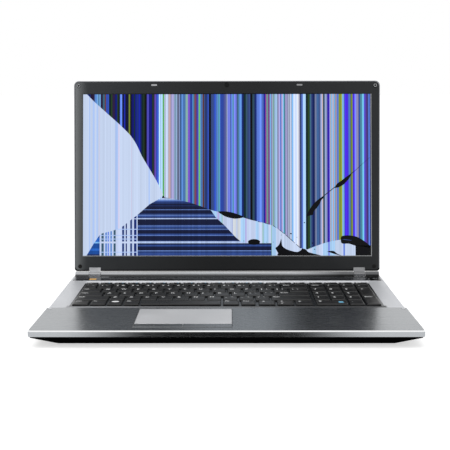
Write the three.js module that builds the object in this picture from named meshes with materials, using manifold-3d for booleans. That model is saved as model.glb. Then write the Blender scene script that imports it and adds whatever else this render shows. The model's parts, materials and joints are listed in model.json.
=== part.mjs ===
// A broken laptop computer, standing open: a wide base with keyboard, touchpad, drives and
// cooling, and a lid with a cracked screen that turns on two hinges in the base's rear bar.
// Millimetres, +Z up. While drawn, X runs to the right, Y to the rear, Y 0 is the front edge
// and Z 0 is the top of the palm rest. The last lines move the origin under the middle.
import * as THREE from 'three';
import { mergeVertices } from 'three/addons/utils/BufferGeometryUtils.js';
import Module from 'manifold-3d';

const wasm = await Module();
wasm.setup();

// Base shell
const WIDTH = 410; // across the front edge
const DEPTH = 259.3; // front edge to rear wall
const SIDE_TAPER = 3; // each side runs in by this much towards the rear
const BASE_HEIGHT = 18; // palm rest to underside
const RIM_HEIGHT = 6.5; // palm rest to the parting line of the two shells
const WALL = 1.6;
const FLOOR = 1.3;
const SEAM = 0.3; // gap left where two pieces meet
const REAR_CORNER = 6;
const FRONT_CORNER = 3;
const UNDERSIDE_SETBACK = 15.2; // the underside starts this far behind the front edge
const UNDERSIDE_CORNER = 26; // and this far inside each front corner
const SHOULDER_Y = 84; // where the cut-back front corners reach the full width
const FOOT_RADIUS = 6;
const FOOT_HEIGHT = 1.7;
const FOOT_INSET = 40; // from the sides
const FOOT_FRONT_Y = 35;
const FOOT_REAR_Y = 238;

// Palm rest and deck
const PALM_MARGIN = 13.65; // from the palm rest's rear edge to the keys
const SKIN = 1.0; // sheet metal of the palm rest
const EDGE_BEVEL = 1.5;
const BEVEL_DROP = 1.1;
const DECK_DROP = 1.8; // keyboard deck below the palm rest
const DECK_SHEET = 1.3;
const WELL_MARGIN = 3.2; // flat floor round the keys
const WELL_SLOPE = 4; // width of the sloped sides of the keyboard well
const WELL_RIDGE = 2.1; // from the well's floor to the strip, where the deck has risen to its level
const STRIP_RECESS = 1.6;
const STUD_RADIUS = 2.2;
const STUD_INSET = 4.7; // from the palm rest's side and rear edges

// Touchpad
const PAD_OFFSET = 45.8; // middle of the pad to the left of the laptop's middle
const PAD_WIDTH = 103.6;
const PAD_FRONT = 28;
const PAD_REAR_MARGIN = 5; // from the pad to the palm rest's rear edge
const PAD_THICKNESS = 2.8;
const PAD_SINK = 0.3; // top of the pad below the palm rest
const PAD_MARGIN = 0.5;
const PAD_GAP = 0.8;
const BUTTON_DEPTH = 13.2;
const BUTTON_HEIGHT = 1.7;
const BUTTON_TRAVEL = 1.0;
const TRAY_SHEET = 1.2;

// Keyboard
const KEYBOARD_SIDE = 25.8; // from the laptop's side to the keys
const KEYBOARD_UNITS = 18.81; // letter keys, with their gaps, that the keyboard's width would hold
const MAIN_UNITS = 14.68; // of which the main block takes this many
const PAD_COLUMNS = 4; // and the number pad these
const KEY_GAP = 2.7;
const ROW = 19.3;
const FUNCTION_ROW = 12.2;
const KEYS_SETBACK = 8.75; // from the keys to the control strip
const KEY_RISE = 2.0;
const KEY_SHOULDER = 0.5; // depth of the sloped edge round a key top
const KEY_INSET = 0.9;
const KEY_TRAVEL = 1.8;
const KEY_SKIRT = 0.6; // how far a moving key reaches below the deck
const KEYBOARD_THICKNESS = 3.8;
const KEYBOARD_MARGIN = 1.4;

// Rear bar, control strip and power button
const BAR_DEPTH = 15.9;
const STRIP_DEPTH = 21.3;
const BAR_RADIUS = 3.2;
const BAR_SWELL = 0.35; // rise of the bar in front of its ridge
const STRIP_GAP = 1.6; // between the strip and the power button
const POWER_BUTTON_WIDTH = 13.4;
const POWER_INSET = 2.9; // from the side of the top shell
const POWER_TRAVEL = 0.6;

// Hinges
const HINGE_SETBACK = 3.5; // hinge axis in front of the rear wall
const LID_CLEARANCE = 0.8; // between the closed lid and the palm rest
const HINGE_INSET = 27.2; // from the lid's side to the middle of its hinge cap
const CAP_WIDTH = 15;
const CAP_HEIGHT = 8.5;
const CAP_PLATE = 0.7;
const BARREL_RADIUS = 3.0;
const PIN_RADIUS = 1.2;
const KNUCKLE_RADIUS = 2.1;
const KNUCKLE_LENGTH = 9;
const NOTCH_CLEARANCE = 0.5;
const BRACKET_FOOT = 30;
const BRACKET_SHEET = 1.2;
const STRAP_WIDTH = 10;
const STRAP_THICKNESS = 1.4;
const STRAP_HEIGHT = 90;

// Lid and screen
const OPEN_TILT = THREE.MathUtils.degToRad(10.6); // leans back from upright
const LID_SIDE_STEP = 2; // the lid's top corners lie this far inside the base's front corners
const LID_TAPER = 1.3; // each side runs in by this much towards the hinges
const LID_OVERHANG = 0.15; // the closed lid's edge reaches this far past the base's front edge
const LID_THICKNESS = 7.5;
const LID_WALL = 1.3;
const LID_FACE = 0.3; // bezel face in front of the hinge axis
const LID_BOTTOM = 3.65; // lower edge above the hinge axis
const LID_CORNER = 6;
const BEZEL = 1.0; // thickness of the bezel plate
const CHIN = 20; // bezel below the screen
const BROW = 17.5; // bezel above the screen
const CHEEK = 10.75; // bezel beside the screen
const PANEL_BORDER = 3.6;
const PANEL_THICKNESS = 1.6;
const BACKLIGHT_THICKNESS = 2.7;
const CRACK_DEPTH = 0.35;
const BUMPER_RADIUS = 2.5;
const BUMPER_INSET = 6.3;
const WEBCAM_DROP = 5.4; // webcam and microphones below the lid's top edge
const LENS_RADIUS = 2.7;
const MICROPHONE_X = 96.5;
const MICROPHONE_LENGTH = 8;
const MICROPHONE_WIDTH = 2.4;

// Inside the base
const DRIVE_HEIGHT = 9.5;
const OPTICAL_DEPTH = 128;
const OPTICAL_LENGTH = 126;
const OPTICAL_SETBACK = 28.3; // from the drive to the rear wall
const DRIVE_SHEET = 0.8;
const DISC_RADIUS = 60.3;
const TRAY_THICKNESS = 2.4;
const TRAY_BEZEL = 2.2;
const EJECT_LENGTH = 11.4;
const EJECT_TRAVEL = 0.5;
const HARD_DRIVE_WIDTH = 100;
const BAY_FRONT = 24; // front of the hard drive and battery bays
const BAY_GAP = 12; // from the bays to the circuit board
const BAY_SPACING = 8; // between the drive, the battery and the speakers
const BATTERY_HEIGHT = 10;
const BOARD_LIFT = 2.3; // circuit board above the floor
const BOARD_THICKNESS = 1.4;
const BOARD_INSET = 1.35; // the board starts this far behind the front of the keys
const BOARD_SETBACK = 23.3; // from the board to the rear wall
const BOARD_GAP = 12.8; // from the board to the optical drive
const PROCESSOR_INSET = 135; // from the board's right edge
const PROCESSOR_SETBACK = 109.3; // from the rear wall
const PROCESSOR_PLATE = 34;
const PROCESSOR_HEIGHT = 2.2;
const FAN_INSET = 21; // fan housing from the left side
const FAN_SETBACK = 20.3; // and from the rear wall
const FAN_SIZE = 62;
const FAN_HEIGHT = 8;
const FAN_SHEET = 1.0;
const ROTOR_RADIUS = 25.5;
const ROTOR_HUB = 11;
const ROTOR_BLADES = 11;
const SHAFT_RADIUS = 1.6;
const PIPE_WIDTH = 6;
const PIPE_THICKNESS = 2.2;
const FIN_DEPTH = 10;
const FIN_PITCH = 4;
const NETWORK_INSET = 109; // sockets from the left side
const POWER_JACK_INSET = 73;
const JACK_LENGTH = 15;
const USB_WIDTH = 14;
const USB_SETBACKS = [141, 119]; // ports in the left wall, from the rear wall
const VIDEO_PORT_SETBACK = 98;
const SPEAKER_INSET = 44;
const SPEAKER_FRONT = 31;
const SPEAKER_SIZE = 28;

// Levels and lines worked out from the sizes above
const underside = -BASE_HEIGHT;
const floorTop = underside + FLOOR;
const partingZ = -RIM_HEIGHT;
const deckZ = -DECK_DROP;
const deckUnder = deckZ - DECK_SHEET;
const stripZ = -STRIP_RECESS;
const barFront = DEPTH - BAR_DEPTH;
const deckRear = barFront - STRIP_DEPTH;
const unit = (WIDTH - 2 * KEYBOARD_SIDE) / KEYBOARD_UNITS;
const keysLeft = -WIDTH / 2 + KEYBOARD_SIDE;
const keysRight = WIDTH / 2 - KEYBOARD_SIDE;
const keysRear = deckRear - KEYS_SETBACK;
const keysFront = keysRear - 5 * ROW - FUNCTION_ROW;
const mainRight = keysLeft + MAIN_UNITS * unit;
const numbersLeft = keysRight - PAD_COLUMNS * unit;
const palmDepth = keysFront - PALM_MARGIN;
const hingeY = DEPTH - HINGE_SETBACK;
const hingeZ = LID_CLEARANCE + LID_FACE;
const lidTop = hingeY + LID_OVERHANG;
const lidTopHalf = WIDTH / 2 - LID_SIDE_STEP;
const lidBottomHalf = lidTopHalf - LID_TAPER;
const hingeX = lidBottomHalf - HINGE_INSET;
const screenBottom = LID_BOTTOM + CHIN;
const screenTop = lidTop - BROW;
const screenWidth = 2 * (lidBottomHalf - CHEEK);
const screenHeight = screenTop - screenBottom;
const sheathBack = LID_FACE - LID_THICKNESS;
const bezelBack = LID_FACE - BEZEL;

function sideAt(y) {
  return WIDTH / 2 - SIDE_TAPER * y / DEPTH;
}

function caseSideAt(y) {
  return sideAt(y) - SKIN - SEAM;
}

// Solids

function solidOf(geometry) {
  const bare = geometry.clone();
  bare.deleteAttribute('normal');
  bare.deleteAttribute('uv');
  const merged = mergeVertices(bare, 1e-4);
  const mesh = new wasm.Mesh({
    numProp: 3,
    vertProperties: new Float32Array(merged.attributes.position.array),
    triVerts: new Uint32Array(merged.index.array),
  });
  return new wasm.Manifold(mesh);
}

function geometryOf(body) {
  const mesh = body.getMesh();
  const geometry = new THREE.BufferGeometry();
  geometry.setAttribute('position', new THREE.BufferAttribute(mesh.vertProperties, 3));
  geometry.setIndex(new THREE.BufferAttribute(mesh.triVerts, 1));
  geometry.computeVertexNormals();
  return geometry;
}

function join(...bodies) {
  return bodies.reduce((whole, body) => whole.add(body));
}

function cut(body, ...tools) {
  return tools.reduce((rest, tool) => rest.subtract(tool), body);
}

function box([x0, x1], [y0, y1], [z0, z1]) {
  const geometry = new THREE.BoxGeometry(x1 - x0, y1 - y0, z1 - z0);
  geometry.translate((x0 + x1) / 2, (y0 + y1) / 2, (z0 + z1) / 2);
  return solidOf(geometry);
}

function around(centre, size) {
  return [centre - size / 2, centre + size / 2];
}

// A range on one side of the middle: side is 1 for the right and -1 for the left.
function mirrored(side, [inner, outer]) {
  return side > 0 ? [inner, outer] : [-outer, -inner];
}

function rod(radius, length, sides) {
  return new THREE.CylinderGeometry(radius, radius, length, sides);
}

function rodX(radius, [x0, x1], y, z, sides = 24) {
  const geometry = rod(radius, x1 - x0, sides).rotateZ(Math.PI / 2);
  return solidOf(geometry.translate((x0 + x1) / 2, y, z));
}

function rodY(radius, x, [y0, y1], z, sides = 20) {
  return solidOf(rod(radius, y1 - y0, sides).translate(x, (y0 + y1) / 2, z));
}

function rodZ(radius, x, y, [z0, z1], sides = 24) {
  const geometry = rod(radius, z1 - z0, sides).rotateX(Math.PI / 2);
  return solidOf(geometry.translate(x, y, (z0 + z1) / 2));
}

function shapeOf(points) {
  return new THREE.Shape(points.map(([x, y]) => new THREE.Vector2(x, y)));
}

// An outline in X and Y raised along Z.
function alongZ(points, [z0, z1]) {
  const geometry = new THREE.ExtrudeGeometry(shapeOf(points), { depth: z1 - z0, bevelEnabled: false });
  return solidOf(geometry.translate(0, 0, z0));
}

// An outline in Y and Z drawn out along X.
function alongX(points, [x0, x1]) {
  const geometry = new THREE.ExtrudeGeometry(shapeOf(points), { depth: x1 - x0, bevelEnabled: false });
  const turn = new THREE.Matrix4().set(0, 0, 1, x0, 1, 0, 0, 0, 0, 1, 0, 0, 0, 0, 0, 1);
  return solidOf(geometry.applyMatrix4(turn));
}

// Corners [x, y, radius] in anticlockwise order become an outline with round corners.
function outline(corners, steps = 4) {
  const points = [];
  corners.forEach(([x, y, radius], i) => {
    const here = new THREE.Vector2(x, y);
    if (!radius) {
      points.push([x, y]);
      return;
    }
    const before = corners[(i + corners.length - 1) % corners.length];
    const after = corners[(i + 1) % corners.length];
    const back = new THREE.Vector2(before[0], before[1]).sub(here).normalize();
    const on = new THREE.Vector2(after[0], after[1]).sub(here).normalize();
    const half = Math.acos(back.dot(on)) / 2;
    const centre = here.clone().add(back.clone().add(on).normalize().multiplyScalar(radius / Math.sin(half)));
    const start = here.clone().addScaledVector(back, radius / Math.tan(half)).sub(centre);
    const sweep = Math.PI - 2 * half;
    for (let k = 0; k <= steps; k += 1) {
      const spoke = start.clone().rotateAround(new THREE.Vector2(), sweep * k / steps);
      points.push([centre.x + spoke.x, centre.y + spoke.y]);
    }
  });
  return points;
}

function roundedBox([x0, x1], [y0, y1], zs, radius, steps) {
  const corners = [[x0, y0, radius], [x1, y0, radius], [x1, y1, radius], [x0, y1, radius]];
  return alongZ(outline(corners, steps), zs);
}

// Skins a stack of outlines, lowest first, each { z, points } with as many points as the rest.
function loft(rings) {
  const count = rings[0].points.length;
  const positions = rings.flatMap(({ z, points }) => points.flatMap(([x, y]) => [x, y, z]));
  const cap = (ring) => THREE.ShapeUtils.triangulateShape(
    ring.points.map(([x, y]) => new THREE.Vector2(x, y)), []);
  const faces = [];
  cap(rings[0]).forEach(([a, b, c]) => faces.push(a, c, b));
  rings.slice(1).forEach((ring, i) => {
    for (let j = 0; j < count; j += 1) {
      const a = i * count + j;
      const b = i * count + (j + 1) % count;
      faces.push(a, b, b + count, a, b + count, a + count);
    }
  });
  const top = (rings.length - 1) * count;
  cap(rings[rings.length - 1]).forEach(([a, b, c]) => faces.push(top + a, top + b, top + c));
  const geometry = new THREE.BufferGeometry();
  geometry.setAttribute('position', new THREE.Float32BufferAttribute(positions, 3));
  geometry.setIndex(faces);
  return solidOf(geometry);
}

// The outline of a strip of the given width that follows a line of points.
function stripAlong(points, width) {
  const path = points.map(([x, y]) => new THREE.Vector2(x, y));
  const offsets = path.map((point, i) => {
    const from = path[Math.max(i - 1, 0)];
    const to = path[Math.min(i + 1, path.length - 1)];
    const along = to.clone().sub(from).normalize();
    return new THREE.Vector2(-along.y, along.x).multiplyScalar(width / 2);
  });
  const right = path.map((point, i) => [point.x - offsets[i].x, point.y - offsets[i].y]);
  const left = path.map((point, i) => [point.x + offsets[i].x, point.y + offsets[i].y]);
  return [...right, ...left.reverse()];
}

// Finishes
const finish = (color, roughness, metalness) => new THREE.MeshStandardMaterial({ color, roughness, metalness });
const silver = finish(0xd6d7d9, 0.45, 0.6);
const brushed = finish(0x6f7377, 0.4, 0.9);
const padSilver = finish(0xcfd0d2, 0.5, 0.3);
const blackPlastic = finish(0x0b0b0c, 0.6, 0);
const stripPlastic = finish(0x3d4043, 0.4, 0.2);
const bezelPlastic = finish(0x26282a, 0.45, 0);
const keyPlastic = finish(0x2b2c2f, 0.55, 0);
const brightMetal = finish(0xb9bbbe, 0.3, 1);
const lidMetal = finish(0x7c7f84, 0.4, 0.9);
const glass = finish(0x8fb2d8, 0.15, 0);
const rubber = finish(0x1a1a1b, 0.9, 0);
const steel = finish(0x9a9c9f, 0.4, 1);
const board = finish(0x1d4a2e, 0.6, 0.1);
const copper = finish(0xb06a3c, 0.35, 1);
const cell = finish(0x2d2f33, 0.6, 0.1);
const ribbon = finish(0x3a3026, 0.6, 0);

const laptop = new THREE.Group();
const lid = new THREE.Group();

function addPiece(name, body, material, parent = laptop) {
  const mesh = new THREE.Mesh(geometryOf(body), material);
  mesh.name = name;
  parent.add(mesh);
}

// Bottom shell: a black tray, cut back below the front edge and at its front corners

function hullRing(z, front, cornerIn, sideIn, inset) {
  const frontY = front + inset;
  const rearY = DEPTH - sideIn - inset;
  const frontHalf = caseSideAt(frontY) - cornerIn - inset;
  const shoulderHalf = caseSideAt(SHOULDER_Y) - sideIn - inset;
  const rearHalf = caseSideAt(rearY) - sideIn - inset;
  const rearCorner = REAR_CORNER - inset;
  return {
    z,
    points: outline([
      [-frontHalf, frontY, FRONT_CORNER],
      [frontHalf, frontY, FRONT_CORNER],
      [shoulderHalf, SHOULDER_Y, 0],
      [rearHalf, rearY, rearCorner],
      [-rearHalf, rearY, rearCorner],
      [-shoulderHalf, SHOULDER_Y, 0],
    ]),
  };
}

function hull(inset, top, bottom) {
  const kneeZ = partingZ - 1.7;
  const heelZ = underside + 1.8;
  const heelShare = (kneeZ - heelZ) / (kneeZ - underside);
  const nose = SKIN + SEAM;
  return loft([
    hullRing(bottom, UNDERSIDE_SETBACK, UNDERSIDE_CORNER, 1.8, inset),
    hullRing(heelZ, nose + (UNDERSIDE_SETBACK - nose) * heelShare, UNDERSIDE_CORNER * heelShare, 0, inset),
    hullRing(kneeZ, nose + 0.4, 0.4, 0, inset),
    hullRing(top, nose, 0, 0, inset),
  ]);
}

const opticalRear = DEPTH - OPTICAL_SETBACK;
const opticalFront = opticalRear - OPTICAL_DEPTH;
const opticalRight = caseSideAt(opticalRear) - WALL - 2 * SEAM;
const boardRight = opticalRight - OPTICAL_LENGTH - BOARD_GAP;
const boardFront = keysFront + BOARD_INSET;
const boardRear = DEPTH - BOARD_SETBACK;
const bayRear = boardFront - BAY_GAP;
const fanX = -WIDTH / 2 + FAN_INSET + FAN_SIZE / 2;
const fanY = DEPTH - FAN_SETBACK - FAN_SIZE / 2;
const networkX = -WIDTH / 2 + NETWORK_INSET;
const powerJackX = -WIDTH / 2 + POWER_JACK_INSET;
const usbYs = USB_SETBACKS.map((setback) => DEPTH - setback);
const videoY = DEPTH - VIDEO_PORT_SETBACK;
const processorX = boardRight - PROCESSOR_INSET;
const processorY = DEPTH - PROCESSOR_SETBACK;
const speakerX = WIDTH / 2 - SPEAKER_INSET;
const bayFloor = floorTop + SEAM;
const boardZ = floorTop + BOARD_LIFT;
const boardTop = boardZ + BOARD_THICKNESS;
const fanLeft = fanX - FAN_SIZE / 2;
const standoffs = [
  [fanX - 32, boardFront + 6], [fanX - 32, fanY - 47], [fanX + 45, boardRear - 6],
  [boardRight - 80, boardFront + 6], [boardRight - 8, boardRear - 6], [boardRight - 8, boardFront + 6],
];
const portZ = boardTop + 3;
const usbHeight = 5.8;
const networkZ = floorTop + 5.4;

function bottomCover() {
  const shell = cut(hull(0, partingZ - SEAM / 2, underside), hull(WALL, partingZ + 1, floorTop));
  const posts = standoffs.map(([x, y]) => rodZ(3, x, y, [floorTop - 0.5, boardZ - SEAM], 12));
  const wallLeft = [-WIDTH / 2, -caseSideAt(0) + WALL + SIDE_TAPER + 1];
  const intake = [-2, -1, 0, 1, 2].map((i) => box(
    around(fanX, 34), around(fanY + 7 * i, 3), [underside - 1, floorTop + 1]));
  const exhaust = [-3, -2, -1, 0, 1, 2, 3].map((i) => box(
    wallLeft, around(fanY + 7 * i, 4.4), [floorTop + 1.5, partingZ - 2]));
  const usb = usbYs.map((y) => box(wallLeft, around(y, USB_WIDTH - 1), around(portZ, usbHeight - 0.6)));
  const video = box(wallLeft, around(videoY, USB_WIDTH), around(portZ, usbHeight - 1));
  const network = box(
    around(networkX, 12.8), [DEPTH - WALL - 1, DEPTH + 1], [networkZ - 4.3, partingZ + 1]);
  const power = rodY(3.4, powerJackX, [DEPTH - WALL - 1, DEPTH + 1], networkZ);
  const optical = box(
    [opticalRight - 1, WIDTH / 2 + 1], [opticalFront, opticalRear], [floorTop, partingZ + 1]);
  return cut(join(shell, ...posts), ...intake, ...exhaust, ...usb, video, network, power, optical);
}
addPiece('bottom_cover', bottomCover(), blackPlastic);

[[-1, 'left'], [1, 'right']].forEach(([side, word]) => {
  [['front', FOOT_FRONT_Y], ['rear', FOOT_REAR_Y]].forEach(([end, y]) => {
    const x = side * (WIDTH / 2 - FOOT_INSET);
    const zs = [underside - SEAM - FOOT_HEIGHT, underside - SEAM];
    addPiece(`foot_${end}_${word}`, rodZ(FOOT_RADIUS, x, y, zs), rubber);
  });
});

// Top shell: the silver deck with the keyboard well, and the shelf under the palm rest

const padX = -PAD_OFFSET;
const padXs = around(padX, PAD_WIDTH);
const padYs = [PAD_FRONT, palmDepth - PAD_REAR_MARGIN];
const buttonYs = [PAD_FRONT - PAD_GAP - BUTTON_DEPTH, PAD_FRONT - PAD_GAP];
const padHole = [
  [padXs[0] - PAD_MARGIN, padXs[1] + PAD_MARGIN],
  [buttonYs[0] - PAD_MARGIN, padYs[1] + PAD_MARGIN],
];
const padUnder = -PAD_SINK - PAD_THICKNESS;
const powerRight = caseSideAt(deckRear) - POWER_INSET;
const powerXs = [powerRight - POWER_BUTTON_WIDTH, powerRight];
const powerYs = [deckRear + 1, barFront - 0.6];
const stripRight = powerXs[0] - STRIP_GAP;
const knuckleSpan = [hingeX - CAP_WIDTH / 2 - NOTCH_CLEARANCE - KNUCKLE_LENGTH, hingeX - CAP_WIDTH / 2];
const capSpan = around(hingeX, CAP_WIDTH);
const notchSpan = around(hingeX, CAP_WIDTH + 2 * NOTCH_CLEARANCE);

function caseBlock(z0, z1, inset, front) {
  const frontHalf = caseSideAt(front) - inset;
  const rear = DEPTH - inset;
  const rearHalf = caseSideAt(rear) - inset;
  const points = outline([
    [-frontHalf, front, FRONT_CORNER - 1],
    [frontHalf, front, FRONT_CORNER - 1],
    [rearHalf, rear, REAR_CORNER - inset],
    [-rearHalf, rear, REAR_CORNER - inset],
  ]);
  return alongZ(points, [z0, z1]);
}

function topCase() {
  const nose = SKIN + SEAM;
  const across = [-WIDTH, WIDTH];
  const above = 5;
  const blank = caseBlock(partingZ + SEAM / 2, 0, 0, nose);
  const hollow = caseBlock(partingZ - 1, deckUnder, WALL, nose + WALL);
  const shelf = box(across, [-1, palmDepth + SEAM], [-nose, above]);
  const slope = alongX([
    [palmDepth, deckZ], [deckRear - 0.8, 0], [deckRear - 0.8, above], [palmDepth, above],
  ], across);
  const wellXs = [keysLeft - WELL_MARGIN, keysRight + WELL_MARGIN];
  const well = loft([
    { z: deckZ, spread: 0, rear: deckRear - WELL_RIDGE },
    { z: 0.2, spread: WELL_SLOPE, rear: deckRear - 0.65 },
  ].map(({ z, spread, rear }) => ({
    z,
    points: outline([
      [wellXs[0] - spread, palmDepth, 0],
      [wellXs[1] + spread, palmDepth, 0],
      [wellXs[1] + spread, rear, 6],
      [wellXs[0] - spread, rear, 6],
    ]),
  })));
  const keyboardHole = box(
    [keysLeft - KEYBOARD_MARGIN - SEAM, keysRight + KEYBOARD_MARGIN + SEAM],
    [keysFront - KEYBOARD_MARGIN - SEAM, keysRear + KEYBOARD_MARGIN + SEAM], [deckUnder - 1, above]);
  const stripPocket = box(
    [-caseSideAt(deckRear) + 3, caseSideAt(deckRear) - 3], [deckRear, barFront + 1], [stripZ, above]);
  const barPocket = box(across, [barFront - SEAM, DEPTH + 1], [stripZ, above]);
  const powerWell = box(
    [powerXs[0] - SEAM, powerXs[1] + SEAM], [powerYs[0] - SEAM, powerYs[1] + SEAM], [deckUnder - 1, above]);
  const padWell = box(...padHole, [deckUnder - 1, above]);
  const padShelf = box(
    [padHole[0][0] - 2, padHole[0][1] + 2], [padHole[1][0] - 2, padHole[1][1] + 2],
    [padUnder - SEAM - TRAY_SHEET, deckUnder + 0.5]);
  const padShelfHollow = box(...padHole, [padUnder - SEAM, above]);
  const hinges = [-1, 1].flatMap((side) => [
    box(mirrored(side, notchSpan), [hingeY - BARREL_RADIUS - NOTCH_CLEARANCE, DEPTH + 1],
      [hingeZ - BARREL_RADIUS - NOTCH_CLEARANCE, above]),
    box(mirrored(side, [knuckleSpan[0] - SEAM, knuckleSpan[1]]),
      [hingeY - KNUCKLE_RADIUS - SEAM, DEPTH - WALL], [deckUnder - 1, above]),
  ]);
  const plate = cut(blank, hollow, shelf, slope, well, keyboardHole, padWell);
  const withShelf = cut(join(plate, padShelf), padShelfHollow);
  return cut(withShelf, stripPocket, barPocket, powerWell, ...hinges);
}
addPiece('top_case', topCase(), silver);

// Palm rest: brushed sheet folded down over the front edge and the sides

const studY = palmDepth - STUD_INSET;
const studX = sideAt(studY) - STUD_INSET;

function palmRest() {
  const ring = (z, front, sideIn) => ({
    z,
    points: outline([
      [-sideAt(0) + sideIn, front, FRONT_CORNER],
      [sideAt(0) - sideIn, front, FRONT_CORNER],
      [sideAt(palmDepth) - sideIn, palmDepth, 2.5],
      [-sideAt(palmDepth) + sideIn, palmDepth, 2.5],
    ]),
  });
  const sheet = loft([ring(partingZ, 0, 0), ring(-BEVEL_DROP, 0, 0), ring(0, EDGE_BEVEL, 0.8)]);
  const inside = alongZ(outline([
    [-sideAt(0) + SKIN, SKIN, FRONT_CORNER - SKIN],
    [sideAt(0) - SKIN, SKIN, FRONT_CORNER - SKIN],
    [sideAt(DEPTH) - SKIN, DEPTH, 0],
    [-sideAt(DEPTH) + SKIN, DEPTH, 0],
  ]), [partingZ - 1, -SKIN]);
  const studHoles = [-1, 1].map((side) => rodZ(STUD_RADIUS + SEAM, side * studX, studY, [-0.6, 1], 16));
  return cut(sheet, inside, box(...padHole, [-SKIN - 1, 1]), ...studHoles);
}
addPiece('palm_rest', palmRest(), brushed);

[[-1, 'left'], [1, 'right']].forEach(([side, word]) => {
  const stud = rodZ(STUD_RADIUS, side * studX, studY, [-SEAM, SEAM], 16);
  addPiece(`deck_stud_${word}`, stud, padSilver);
});

// Touchpad and its two buttons

addPiece('touchpad', roundedBox(padXs, padYs, [padUnder, -PAD_SINK], 1, 2), padSilver);

[['left', padXs[0], padX - SEAM / 2], ['right', padX + SEAM / 2, padXs[1]]].forEach(
  ([word, x0, x1]) => {
    const top = -PAD_SINK - 0.1;
    const low = top - BUTTON_HEIGHT;
    const profile = [
      [buttonYs[0], low], [buttonYs[1], low], [buttonYs[1], top], [buttonYs[0] + 3, top], [buttonYs[0], top - 0.8],
    ];
    addPiece(`touchpad_button_${word}`, alongX(profile, [x0, x1]), brushed);
  });

// Keyboard: a silver frame that carries the small keys, with pockets for the wide ones

const keyRows = [
  { row: 0, widths: [1.1, 1.03, 0.99, 1.03, 4.98, 1.1, 0.99], names: { 4: 'space_bar' } },
  { row: 1, widths: [2.13, 1, 1, 1, 1, 1, 1, 1, 1, 1, 1, 0], names: { 0: 'left_shift_key', 11: 'right_shift_key' } },
  { row: 2, widths: [1.64, 1, 1, 1, 1, 1, 1, 1, 1, 1, 1, 1, 0], names: { 0: 'caps_lock_key', 12: 'enter_key' } },
  { row: 3, widths: [1.38, 1, 1, 1, 1, 1, 1, 1, 1, 1, 1, 1, 1, 0], names: { 0: 'tab_key' } },
  { row: 4, widths: [0.92, 1, 1, 1, 1, 1, 1, 1, 1, 1, 1, 1, 1, 0], names: { 13: 'backspace_key' } },
];
const FUNCTION_KEYS = 16;
const ARROW_UNITS = 3.38;

function keyAt(x0, x1, y0, y1, name) {
  const g = KEY_GAP / 2;
  return { x0: x0 + g, x1: x1 - g, y0: y0 + g, y1: y1 - g, name };
}

function allKeys() {
  const keys = [];
  const right = mainRight;
  const rowY = (row) => keysFront + row * ROW;
  keyRows.forEach(({ row, widths, names }) => {
    let x = keysLeft;
    widths.forEach((width, i) => {
      const next = width ? x + width * unit : right;
      keys.push(keyAt(x, next, rowY(row), rowY(row + 1), names[i]));
      x = next;
    });
  });
  const arrow = ARROW_UNITS * unit / 3;
  const arrowX = right - 3 * arrow;
  const middle = rowY(0.5);
  keys.push(keyAt(arrowX, arrowX + arrow, rowY(0), rowY(1)));
  keys.push(keyAt(arrowX + arrow, arrowX + 2 * arrow, rowY(0), middle + KEY_GAP / 4));
  keys.push(keyAt(arrowX + arrow, arrowX + 2 * arrow, middle - KEY_GAP / 4, rowY(1)));
  keys.push(keyAt(arrowX + 2 * arrow, right, rowY(0), rowY(1)));
  const small = (right - keysLeft) / FUNCTION_KEYS;
  for (let i = 0; i < FUNCTION_KEYS; i += 1) {
    keys.push(keyAt(keysLeft + i * small, keysLeft + (i + 1) * small, rowY(5), keysRear));
  }
  const column = (i) => numbersLeft + i * unit;
  for (let i = 0; i < PAD_COLUMNS; i += 1) {
    keys.push(keyAt(column(i), column(i + 1), rowY(5), keysRear));
    keys.push(keyAt(column(i), column(i + 1), rowY(4), rowY(5)));
  }
  for (let row = 1; row < 4; row += 1) {
    for (let i = 0; i < 3; i += 1) {
      keys.push(keyAt(column(i), column(i + 1), rowY(row), rowY(row + 1)));
    }
  }
  keys.push(keyAt(column(0), column(2), rowY(0), rowY(1), 'number_pad_zero_key'));
  keys.push(keyAt(column(2), column(3), rowY(0), rowY(1)));
  keys.push(keyAt(column(3), column(4), rowY(0), rowY(2), 'number_pad_enter_key'));
  keys.push(keyAt(column(3), column(4), rowY(2), rowY(4), 'number_pad_plus_key'));
  return keys;
}

function keyCap({ x0, x1, y0, y1 }, low) {
  const ring = (z, inset) => ({
    z,
    points: [
      [x0 + inset, y0 + inset], [x1 - inset, y0 + inset], [x1 - inset, y1 - inset], [x0 + inset, y1 - inset],
    ],
  });
  const top = deckZ + KEY_RISE;
  return loft([ring(low, 0), ring(top - KEY_SHOULDER, 0), ring(top, KEY_INSET)]);
}

function keyboard() {
  const plate = box(
    [keysLeft - KEYBOARD_MARGIN, keysRight + KEYBOARD_MARGIN],
    [keysFront - KEYBOARD_MARGIN, keysRear + KEYBOARD_MARGIN], [deckZ - KEYBOARD_THICKNESS, deckZ]);
  const fixed = allKeys().filter((key) => !key.name).map((key) => keyCap(key, deckZ - SEAM));
  const pocketFloor = deckZ - KEY_SKIRT - KEY_TRAVEL - SEAM;
  const pockets = allKeys().filter((key) => key.name).map((key) => box(
    [key.x0 - SEAM, key.x1 + SEAM], [key.y0 - SEAM, key.y1 + SEAM], [pocketFloor, deckZ + 1]));
  return cut(join(plate, ...fixed), ...pockets);
}
addPiece('keyboard', keyboard(), silver);

allKeys().filter((key) => key.name).forEach((key) => {
  addPiece(key.name, keyCap(key, deckZ - KEY_SKIRT), keyPlastic);
});

// Control strip, power button and the rear bar with its notches for the hinge caps

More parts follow.
